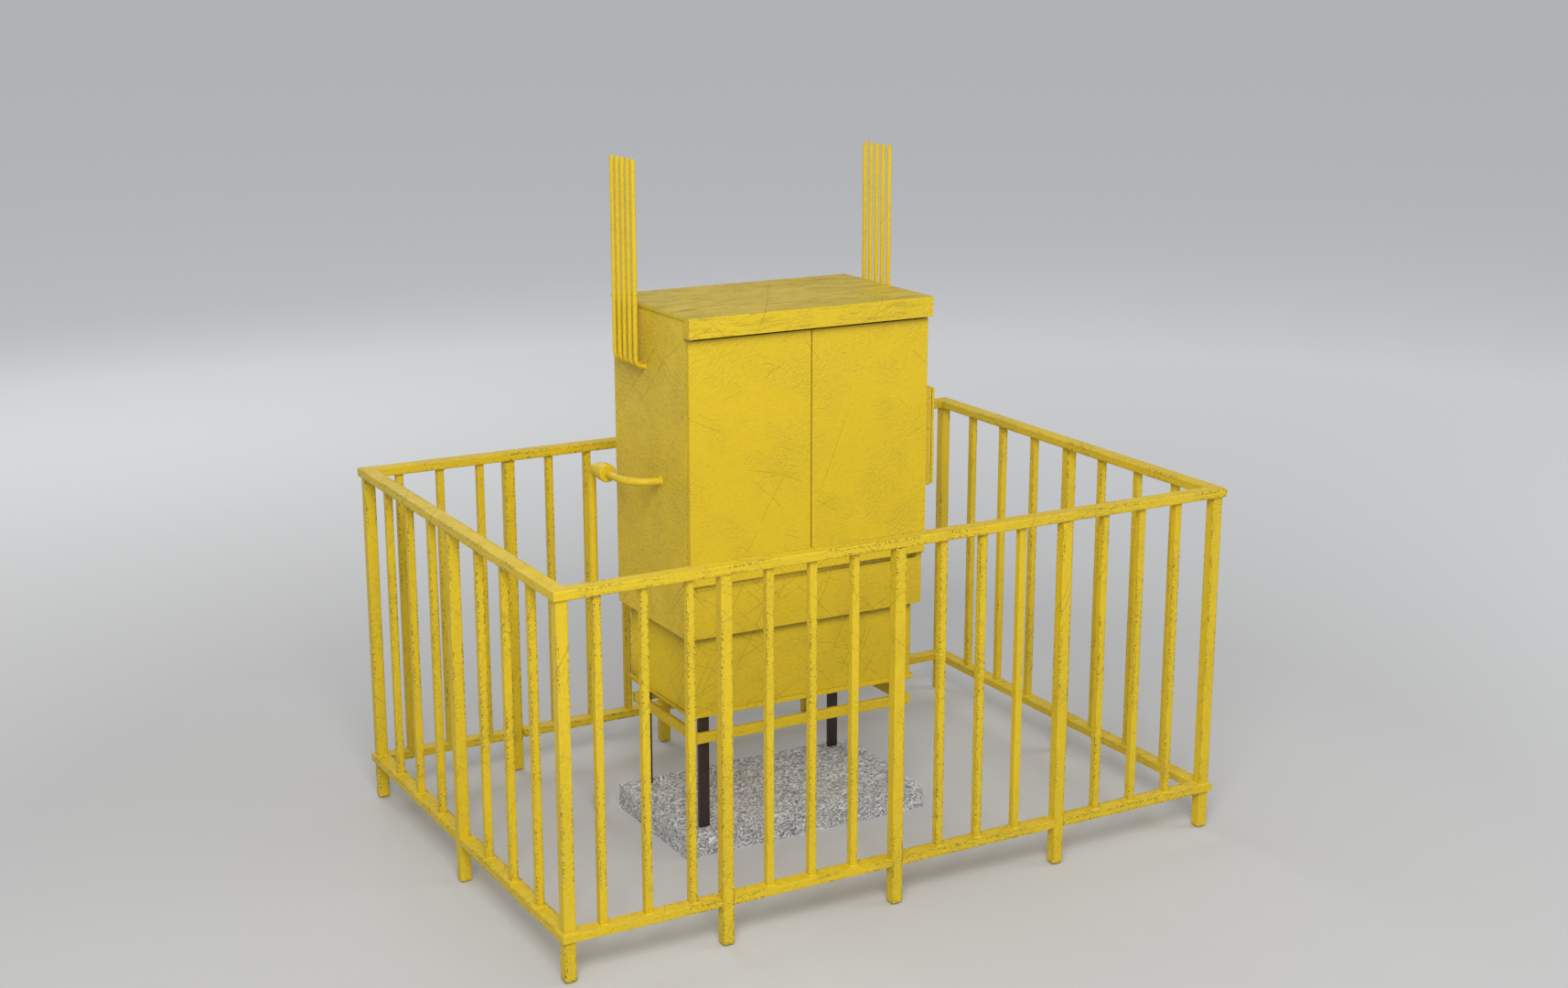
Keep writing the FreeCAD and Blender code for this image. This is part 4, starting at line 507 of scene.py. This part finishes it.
welds = bmesh.new()
rail_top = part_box("fence_bottom_rails_long")[1].z
rail_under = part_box("fence_top_rail_front")[0].z
for part in ("fence_bars_front", "fence_bars_rear", "fence_bars_left", "fence_bars_right"):
    for low, high in loose_boxes(part):
        square_weld(welds, low, high, rail_top, 1)
        square_weld(welds, low, high, rail_under, -1)
for low, high in loose_boxes("fence_corner_posts"):
    if high.z > rail_under - 0.01:       # the posts, and not the feet below them
        square_weld(welds, low, high, rail_top, 1)
        square_weld(welds, low, high, rail_under, -1)
bmesh.ops.recalc_face_normals(welds, faces=welds.faces)
keep_piece(welds, "fence_welds", "station", railing_enamel)


# ---- Concrete slab ------------------------------------------------------------------------------
# A cast slab laid on the ground, its skin flaked in thin curled layers, its edges and corners worn.

def block(mesh, low, high):
    """A plain box between two corners."""
    return bmesh.ops.create_cube(mesh, size=1, matrix=Matrix.Translation((low + high) / 2)
                                 @ Matrix.Diagonal((*(high - low), 1)))


LONG_CUTS, HIGH_CUTS = 74, 9
ON_FACE = 0.001
FLAKE_DEPTH = 0.0016
BITE_DEPTH, BITE_REACH = 0.006, 0.012

low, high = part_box("concrete_slab")
middle = (low + high) / 2
slab = bmesh.new()
block(slab, low, high)
long_edges = [edge for edge in slab.edges if edge.calc_length() > 0.2]
bmesh.ops.subdivide_edges(slab, edges=long_edges, cuts=LONG_CUTS, use_grid_fill=True)
upright = [edge for edge in slab.edges if abs(edge.verts[0].co.z - edge.verts[1].co.z) > 0.05]
bmesh.ops.subdivide_edges(slab, edges=upright, cuts=HIGH_CUTS, use_grid_fill=True)
for vert in slab.verts:
    if vert.co.z < low.z + ON_FACE:
        continue
    flake = noise.fractal(vert.co * 26, 0.9, 2.1, 4)
    worn = FLAKE_DEPTH + FLAKE_DEPTH * flake
    near = [min(vert.co[axis] - low[axis], high[axis] - vert.co[axis]) for axis in (0, 1)]
    near.append(high.z - vert.co.z)
    at_edge = max(0.0, 1 - sorted(near)[1] / BITE_REACH)
    bite = max(0.0, noise.noise(vert.co * 11) + 0.15) * BITE_DEPTH * at_edge
    inward = Vector((0, 0, -1 if near[2] < ON_FACE else 0))
    for axis in (0, 1):
        if near[axis] < ON_FACE:
            inward[axis] = -1 if vert.co[axis] > middle[axis] else 1
    vert.co += inward * max(0.0, worn + bite)

concrete, take, give = new_group(
    "flaked_concrete",
    [("Light", "Color", (0.95, 0.95, 0.96, 1)), ("Dark", "Color", (0.048, 0.048, 0.053, 1))],
    [("Color", "Color"), ("Roughness", "Float"), ("Normal", "Vector")])
place = add(concrete, "TexCoord").outputs["Object"]
swirl = add(concrete, "TexNoise", {"Vector": place, "Scale": 7.0, "Detail": 2.0}).outputs["Color"]
pull = add(concrete, "VectorMath", {0: swirl, 1: (0.10, 0.10, 0.10)}, operation="MULTIPLY").outputs[0]
pulled = add(concrete, "VectorMath", {0: place, 1: pull}, operation="ADD").outputs[0]
wisps, pits = None, None
for turn, stretch in (((0.2, 0.1, 0.4), (26, 150, 150)), ((0.1, 0.3, 1.5), (30, 180, 180)),
                      ((0.3, 0.2, 2.5), (22, 125, 125))):
    strokes = stretched_noise(concrete, pulled, turn, stretch, 3.0, 0.6)
    light = remap(concrete, strokes, 0.54, 0.61)
    dark = remap(concrete, strokes, 0.44, 0.36)
    wisps = light if wisps is None else math_of(concrete, "MAXIMUM", wisps, light)
    pits = dark if pits is None else math_of(concrete, "MAXIMUM", pits, dark)
body = remap(concrete, noise_of(concrete, place, 6.0, 6.0, 0.7), 0.3, 0.7, 0.28, 0.45)
grey = blend_of(concrete, body, take.outputs["Dark"], take.outputs["Light"])
grey = blend_of(concrete, math_of(concrete, "MULTIPLY", pits, 0.55), grey, take.outputs["Dark"])
grey = blend_of(concrete, math_of(concrete, "MULTIPLY", wisps, 0.85), grey, take.outputs["Light"])
concrete.links.new(grey, give.inputs["Color"])
concrete.links.new(remap(concrete, wisps, 0.0, 1.0, 0.95, 0.75), give.inputs["Roughness"])
relief = add(concrete, "Bump", {"Strength": 0.7, "Distance": 0.003,
                                "Height": math_of(concrete, "SUBTRACT", wisps, pits)})
concrete.links.new(relief.outputs[0], give.inputs["Normal"])


slab_finish = bpy.data.materials.new("slab_concrete")
slab_finish.use_nodes = True
slab_shader = slab_finish.node_tree.nodes["Principled BSDF"]
slab_pattern = slab_finish.node_tree.nodes.new("ShaderNodeGroup")
slab_pattern.node_tree = concrete
for given, taken in (("Color", "Base Color"), ("Roughness", "Roughness"), ("Normal", "Normal")):
    slab_finish.node_tree.links.new(slab_pattern.outputs[given], slab_shader.inputs[taken])
slab_shader.inputs["Specular IOR Level"].default_value = 0.2
keep_piece(slab, "concrete_slab_cast", "station", slab_finish, ("concrete_slab",))


# ---- Legs and tie bars --------------------------------------------------------------------------
# Four tubes in dark brown gloss that stand on the slab, and a yellow ring of tube clamped round
# them under the plinth.

leg_enamel = enamel_finish("leg_enamel", (0.027, 0.011, 0.010), (0.034, 0.015, 0.013),
                           grain=(170, 170, 30), depth=0.12, streaks=0.1, wear=0.4, flecks=0.2)
leg_enamel.node_tree.nodes["Principled BSDF"].inputs["Coat Weight"].default_value = 0.35
for end in ("front", "rear"):
    for side in ("left", "right"):
        part = "leg_%s_%s" % (end, side)
        leg_mesh = ease_edges(from_cad(part), SHEET_EDGE, 1)
        keep_piece(leg_mesh, part + "_painted", "station", leg_enamel, (part,))
tie_mesh = ease_edges(from_cad("leg_tie_bars"), TUBE_EDGE, 2, TUBE_SHARPNESS)
keep_piece(tie_mesh, "leg_tie_bars_painted", "station", rail_enamel, ("leg_tie_bars",))


# ---- Plinth and cabinet shell -------------------------------------------------------------------
# Folded and welded sheet steel: a plinth box with a strip round its foot, the wider cabinet above
# it, a door frame of square channel and a roof sheet with a deep folded visor.

ROOF_UPRIGHT = 0.7           # a face whose normal rises more than this belongs to the top sheet
for part, finish, width in (
        ("plinth_floor", wall_enamel, SHEET_EDGE), ("plinth_panels", plinth_enamel, SHEET_EDGE),
        ("plinth_edge_strips", rail_enamel, 0.0025), ("cabinet_left_wall", wall_enamel, SHEET_EDGE),
        ("cabinet_right_wall", wall_enamel, SHEET_EDGE), ("cabinet_rear_wall", door_enamel, SHEET_EDGE),
        ("cabinet_floor", wall_enamel, SHEET_EDGE), ("cabinet_apron", apron_enamel, SMALL_EDGE),
        ("door_frame", wall_enamel, SHEET_EDGE), ("roof_cap", roof_enamel, 0.0009)):
    shell_mesh = ease_edges(from_cad(part), width, 2)
    shell = keep_piece(shell_mesh, part + "_painted", "station", finish, (part,))
    if part == "roof_cap":
        shell.data.materials.append(visor_enamel)
        for face in shell.data.polygons:
            face.material_index = 0 if face.normal.z > ROOF_UPRIGHT else 1


# ---- Doors --------------------------------------------------------------------------------------
# Two folded trays of sheet steel that lie over the frame, with stiffeners across their backs, a
# rubber seal on the fold, pins at their outer corners and a magnet at the top of each.

def plain_finish(name, colour, roughness, metallic=0.0, grain_scale=140.0, relief_depth=0.0003, spread=0.12):
    """A bare finish with a fine mottle in its colour, its roughness and its relief."""
    finish = bpy.data.materials.new(name)
    finish.use_nodes = True
    tree = finish.node_tree
    shader = tree.nodes["Principled BSDF"]
    spot = add(tree, "TexCoord").outputs["Object"]
    mottle = noise_of(tree, spot, grain_scale, 4.0, 0.6)
    dull = tuple(channel * (1 - spread * 2) for channel in colour)
    tree.links.new(blend_of(tree, mottle, (*dull, 1), (*colour, 1)), shader.inputs["Base Color"])
    tree.links.new(remap(tree, mottle, 0.3, 0.7, roughness * 0.85, min(1.0, roughness * 1.15)),
                   shader.inputs["Roughness"])
    shader.inputs["Metallic"].default_value = metallic
    bump = add(tree, "Bump", {"Strength": 0.4, "Distance": relief_depth, "Height": mottle})
    tree.links.new(bump.outputs[0], shader.inputs["Normal"])
    return finish


seal_rubber = plain_finish("seal_rubber", (0.022, 0.022, 0.023), 0.7, 0.0, 300.0)
zinc = plain_finish("zinc", (0.52, 0.53, 0.53), 0.38, 0.9, 60.0)
black_plastic = plain_finish("black_plastic", (0.02, 0.02, 0.02), 0.55, 0.0, 400.0)
for side in ("left", "right"):
    part = side + "_door"
    keep_piece(ease_edges(from_cad(part), DOOR_EDGE, 2), part + "_painted", part,
               door_enamel, (part,))
    keep_piece(ease_edges(from_cad(part + "_seal"), RUBBER_EDGE, 3), part + "_seal_rubber", part,
               seal_rubber, (part + "_seal",))

# A rubber strip on the left leaf's free edge closes most of the gap between the leaves.
STRIP_INSET = 0.004
STRIP_SHORT = 0.003
STRIP_CLEARANCE = 0.001
leaf_low, leaf_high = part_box("left_door")
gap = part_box("right_door")[0].x - leaf_high.x
strip = bmesh.new()
block(strip, Vector((leaf_high.x, leaf_low.y + STRIP_INSET, leaf_low.z + STRIP_SHORT)),
      Vector((leaf_high.x + gap - STRIP_CLEARANCE, leaf_high.y - STRIP_INSET, leaf_high.z - STRIP_SHORT)))
keep_piece(ease_edges(strip, RUBBER_EDGE, 3), "door_meeting_strip", "left_door", seal_rubber)
keep_piece(ease_edges(from_cad("door_hinge_pivots"), SMALL_EDGE, 2), "door_hinge_pivots_zinc", "station",
           zinc, ("door_hinge_pivots",))
keep_piece(ease_edges(from_cad("door_catch_magnets"), SMALL_EDGE, 2), "door_catch_magnets_black", "station",
           black_plastic, ("door_catch_magnets",))


# ---- Vents and gas inlet ------------------------------------------------------------------------
# Thin steel pipe, five each side, bent into the walls and left open at the top; a thicker riser,
# an insulating joint with a wide disc, and a pipe that sweeps into the left wall.

for part in ("vent_pipes_left", "vent_pipes_right", "inlet_riser", "inlet_pipe"):
    keep_piece(from_cad(part), part + "_painted", "station", pipe_enamel, (part,))
joint_mesh = ease_edges(from_cad("insulating_joint"), 0.003, 3, TURNED_SHARPNESS)
keep_piece(joint_mesh, "insulating_joint_painted", "station", pipe_enamel, ("insulating_joint",))


PIPE_RIPPLE = 0.0004
VENTS_A_SIDE = 5
VENT_RADIUS = 0.01065
VENT_WELD = 0.004
INLET_WELD = 0.006


def pipe_weld(mesh, centre, axis, radius, leg):
    """A rippled ring of weld where a pipe goes through a wall, standing off along the axis."""
    turn = Vector(axis).to_track_quat("Z", "Y").to_matrix().to_4x4()
    ring = bmesh.ops.create_circle(mesh, segments=28, radius=radius + leg,
                                   matrix=Matrix.Translation(centre) @ turn)
    edges = edges_of(ring["verts"])
    for rise, reach in ((0.5, 0.42), (1.0, -0.05)):
        grown = bmesh.ops.extrude_edge_only(mesh, edges=edges)
        moved = [item for item in grown["geom"] if isinstance(item, bmesh.types.BMVert)]
        edges = [item for item in grown["geom"] if isinstance(item, bmesh.types.BMEdge)]
        for vert in moved:
            out = vert.co - Vector(centre)
            out -= Vector(axis) * out.dot(Vector(axis))
            size = radius + leg * reach + (dice.uniform(-PIPE_RIPPLE, PIPE_RIPPLE) if rise < 1 else 0)
            vert.co = Vector(centre) + out.normalized() * size + Vector(axis) * leg * rise


wall_welds = bmesh.new()
left_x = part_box("cabinet_left_wall")[0].x
right_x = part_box("cabinet_right_wall")[1].x
vent_low, vent_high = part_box("vent_pipes_left")
for number in range(VENTS_A_SIDE):
    y = (vent_low.y + VENT_RADIUS
         + number * (vent_high.y - vent_low.y - 2 * VENT_RADIUS) / (VENTS_A_SIDE - 1))
    z = vent_low.z + VENT_RADIUS
    pipe_weld(wall_welds, (left_x, y, z), (-1, 0, 0), VENT_RADIUS, VENT_WELD)
    pipe_weld(wall_welds, (right_x, y, z), (1, 0, 0), VENT_RADIUS, VENT_WELD)
inlet_low, inlet_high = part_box("inlet_pipe")
inlet_radius = (inlet_high.z - inlet_low.z) / 2
inlet_axis = (inlet_low.y + inlet_radius, inlet_low.z + inlet_radius)
pipe_weld(wall_welds, (left_x, *inlet_axis), (-1, 0, 0), inlet_radius, INLET_WELD)
bmesh.ops.recalc_face_normals(wall_welds, faces=wall_welds.faces)
keep_piece(wall_welds, "pipe_wall_welds", "station", pipe_enamel)


# ---- Gas line inside ----------------------------------------------------------------------------
# Cast and turned fittings from left to right: ball valve, filter, safety shut-off, regulator with
# its flat diaphragm case, ball valve, and the outlet that turns back through the rear wall.

enamel_grey = plain_finish("fitting_enamel", (0.20, 0.23, 0.26), 0.45, 0.0, 90.0, 0.0008)
brass = plain_finish("dull_brass", (0.60, 0.43, 0.17), 0.36, 0.95, 120.0)
valve_plate = plain_finish("valve_plating", (0.56, 0.50, 0.38), 0.34, 0.95, 120.0)
red_plastic = plain_finish("red_plastic", (0.42, 0.025, 0.02), 0.42, 0.0, 300.0)
for part, body_name, slot_name, finish, width in (
        ("inlet_valve", "station", "valve_metal", valve_plate, TURNED_EDGE),
        ("outlet_valve", "station", "valve_metal", valve_plate, TURNED_EDGE),
        ("inlet_valve_lever", "inlet_lever", "lever_paint", pipe_enamel, TURNED_EDGE),
        ("outlet_valve_lever", "outlet_lever", "lever_paint", pipe_enamel, TURNED_EDGE),
        ("gas_filter", "station", "fitting_paint", enamel_grey, CAST_EDGE),
        ("shutoff_valve", "station", "fitting_paint", enamel_grey, CAST_EDGE),
        ("pressure_regulator", "station", "fitting_paint", enamel_grey, CAST_EDGE),
        ("shutoff_reset_knob", "reset_knob", "knob_plastic", red_plastic, 0.0010),
        ("regulator_adjuster", "adjuster", "cap_brass", brass, 0.0015),
        ("relief_valve", "station", "cap_brass", brass, 0.0010),
        ("outlet_pipe", "station", "pipe_paint", pipe_enamel, TURNED_EDGE),
        ("line_props", "station", "zinc_steel", zinc, SHEET_EDGE)):
    keep_piece(ease_edges(from_cad(part), width, 2, 35), part + "_finished", body_name, finish,
               (part,))
keep_piece(from_cad("pipe_nipples"), "pipe_nipples_painted", "station", pipe_enamel,
           ("pipe_nipples",))


def hex_head(mesh, centre, axis, across, thick):
    """A bolt head: a six-sided prism with its outer corners turned off."""
    turn = Vector(axis).to_track_quat("Z", "Y").to_matrix().to_4x4()
    made = bmesh.ops.create_cone(mesh, cap_ends=True, segments=6, radius1=across / 2, radius2=across / 2,
                                 depth=thick,
                                 matrix=Matrix.Translation(Vector(centre) + Vector(axis) * thick / 2) @ turn)
    edges = edges_of(made["verts"])
    bmesh.ops.bevel(mesh, geom=edges, offset=thick * 0.13, affect="EDGES", segments=1, profile=0.5,
                    material=-1)


bolts = bmesh.new()
line_y, line_z = inlet_axis
for part, count, circle, rows, across_corners, thick in (
        ("gas_filter", 8, 0.060, ((0.058, 1),), 0.013, 0.006),
        ("shutoff_valve", 6, 0.0455, ((0.072, 1),), 0.009, 0.004),
        ("pressure_regulator", 12, 0.1235, ((0.130, 1), (0.116, -1)), 0.011, 0.005)):
    low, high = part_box(part)
    middle_x = (low.x + high.x) / 2
    for number in range(count):
        angle = math.radians(360 / count * (number + 0.5))
        for rise, up in rows:
            hex_head(bolts, (middle_x + circle * math.cos(angle), line_y + circle * math.sin(angle),
                             line_z + rise), (0, 0, up), across_corners, thick)
keep_piece(bolts, "line_bolts", "station", zinc)


# ---- Gauges -------------------------------------------------------------------------------------
# Round steel cases on stems: a white dial with ticks and a red limit mark, a black needle on its
# own hub, and a flat glass in the rim.

gauge_steel = plain_finish("gauge_steel", (0.56, 0.57, 0.58), 0.28, 1.0, 200.0, 0.0001)
dial_white = plain_finish("dial_white", (0.80, 0.80, 0.77), 0.5, 0.0, 60.0, 0.0001, 0.03)
mark_black = plain_finish("mark_black", (0.015, 0.015, 0.015), 0.5, 0.0, 300.0, 0.0001)
mark_red = plain_finish("mark_red", (0.55, 0.03, 0.02), 0.5, 0.0, 300.0, 0.0001)
STEM_SPACE = 0.050           # from the top of the case down to the middle of the dial
DIAL_BACK = 0.010
DIAL_RADIUS = 0.0455
TICKS, TICK_STEP, FIRST_TICK = 31, 9, 225
LAST_BLACK_TICK = 25
TICK_REACH = 0.0415
TICK_THICK = 0.00012
LENS_RADIUS, LENS_THICK, LENS_FORWARD = 0.0458, 0.0012, 0.0082
lens_glass = bpy.data.materials.new("lens_glass")
lens_glass.use_nodes = True
lens_shader = lens_glass.node_tree.nodes["Principled BSDF"]
lens_shader.inputs["Base Color"].default_value = (0.97, 0.98, 0.98, 1)
lens_shader.inputs["Roughness"].default_value = 0.03
lens_shader.inputs["Transmission Weight"].default_value = 1.0
lens_shader.inputs["IOR"].default_value = 1.1
for name in ("inlet", "outlet"):
    part = name + "_gauge"
    case_mesh = ease_edges(from_cad(part), TURNED_EDGE, 2, TURNED_SHARPNESS)
    keep_piece(case_mesh, part + "_case", "station", gauge_steel, (part,))
    keep_piece(from_cad(part + "_needle"), part + "_pointer", name + "_needle", mark_black,
               (part + "_needle",))
    low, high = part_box(part)
    centre = Vector(((low.x + high.x) / 2, low.y + DIAL_BACK, high.z - STEM_SPACE))
    facing = Matrix.Rotation(math.radians(90), 4, "X")
    dial = bmesh.new()
    bmesh.ops.create_circle(dial, cap_ends=True, segments=48, radius=DIAL_RADIUS,
                            matrix=Matrix.Translation(centre + Vector((0, -0.00008, 0))) @ facing)
    keep_piece(dial, part + "_dial", "station", dial_white)
    ticks, limit = bmesh.new(), bmesh.new()
    for number in range(TICKS):
        angle = math.radians(FIRST_TICK - TICK_STEP * number)
        length, width = (0.007, 0.0011) if number % 5 == 0 else (0.004, 0.0006)
        out = Vector((math.cos(angle), 0, math.sin(angle)))
        at = centre + out * (TICK_REACH - length / 2) + Vector((0, -TICK_THICK, 0))
        bmesh.ops.create_cube(limit if number > LAST_BLACK_TICK else ticks, size=1,
                              matrix=Matrix.Translation(at) @ Matrix.Rotation(-angle, 4, "Y")
                              @ Matrix.Diagonal((length, TICK_THICK, width, 1)))
    keep_piece(ticks, part + "_ticks", "station", mark_black)
    keep_piece(limit, part + "_limit", "station", mark_red)
    lens = bmesh.new()
    bmesh.ops.create_cone(lens, cap_ends=True, segments=48, radius1=LENS_RADIUS, radius2=LENS_RADIUS,
                          depth=LENS_THICK,
                          matrix=Matrix.Translation(centre + Vector((0, -LENS_FORWARD, 0))) @ facing)
    keep_piece(ease_edges(lens, 0.0003, 1), part + "_lens", "station", lens_glass)


# ---- Instrument box -----------------------------------------------------------------------------
# A flat steel box on the right wall with a lid hinged at its rear edge.

for part, body_name in (("instrument_box", "station"), ("instrument_box_lid", "box_lid")):
    box_mesh = ease_edges(from_cad(part), 0.0009, 2)
    keep_piece(box_mesh, part + "_painted", body_name, wall_enamel, (part,))
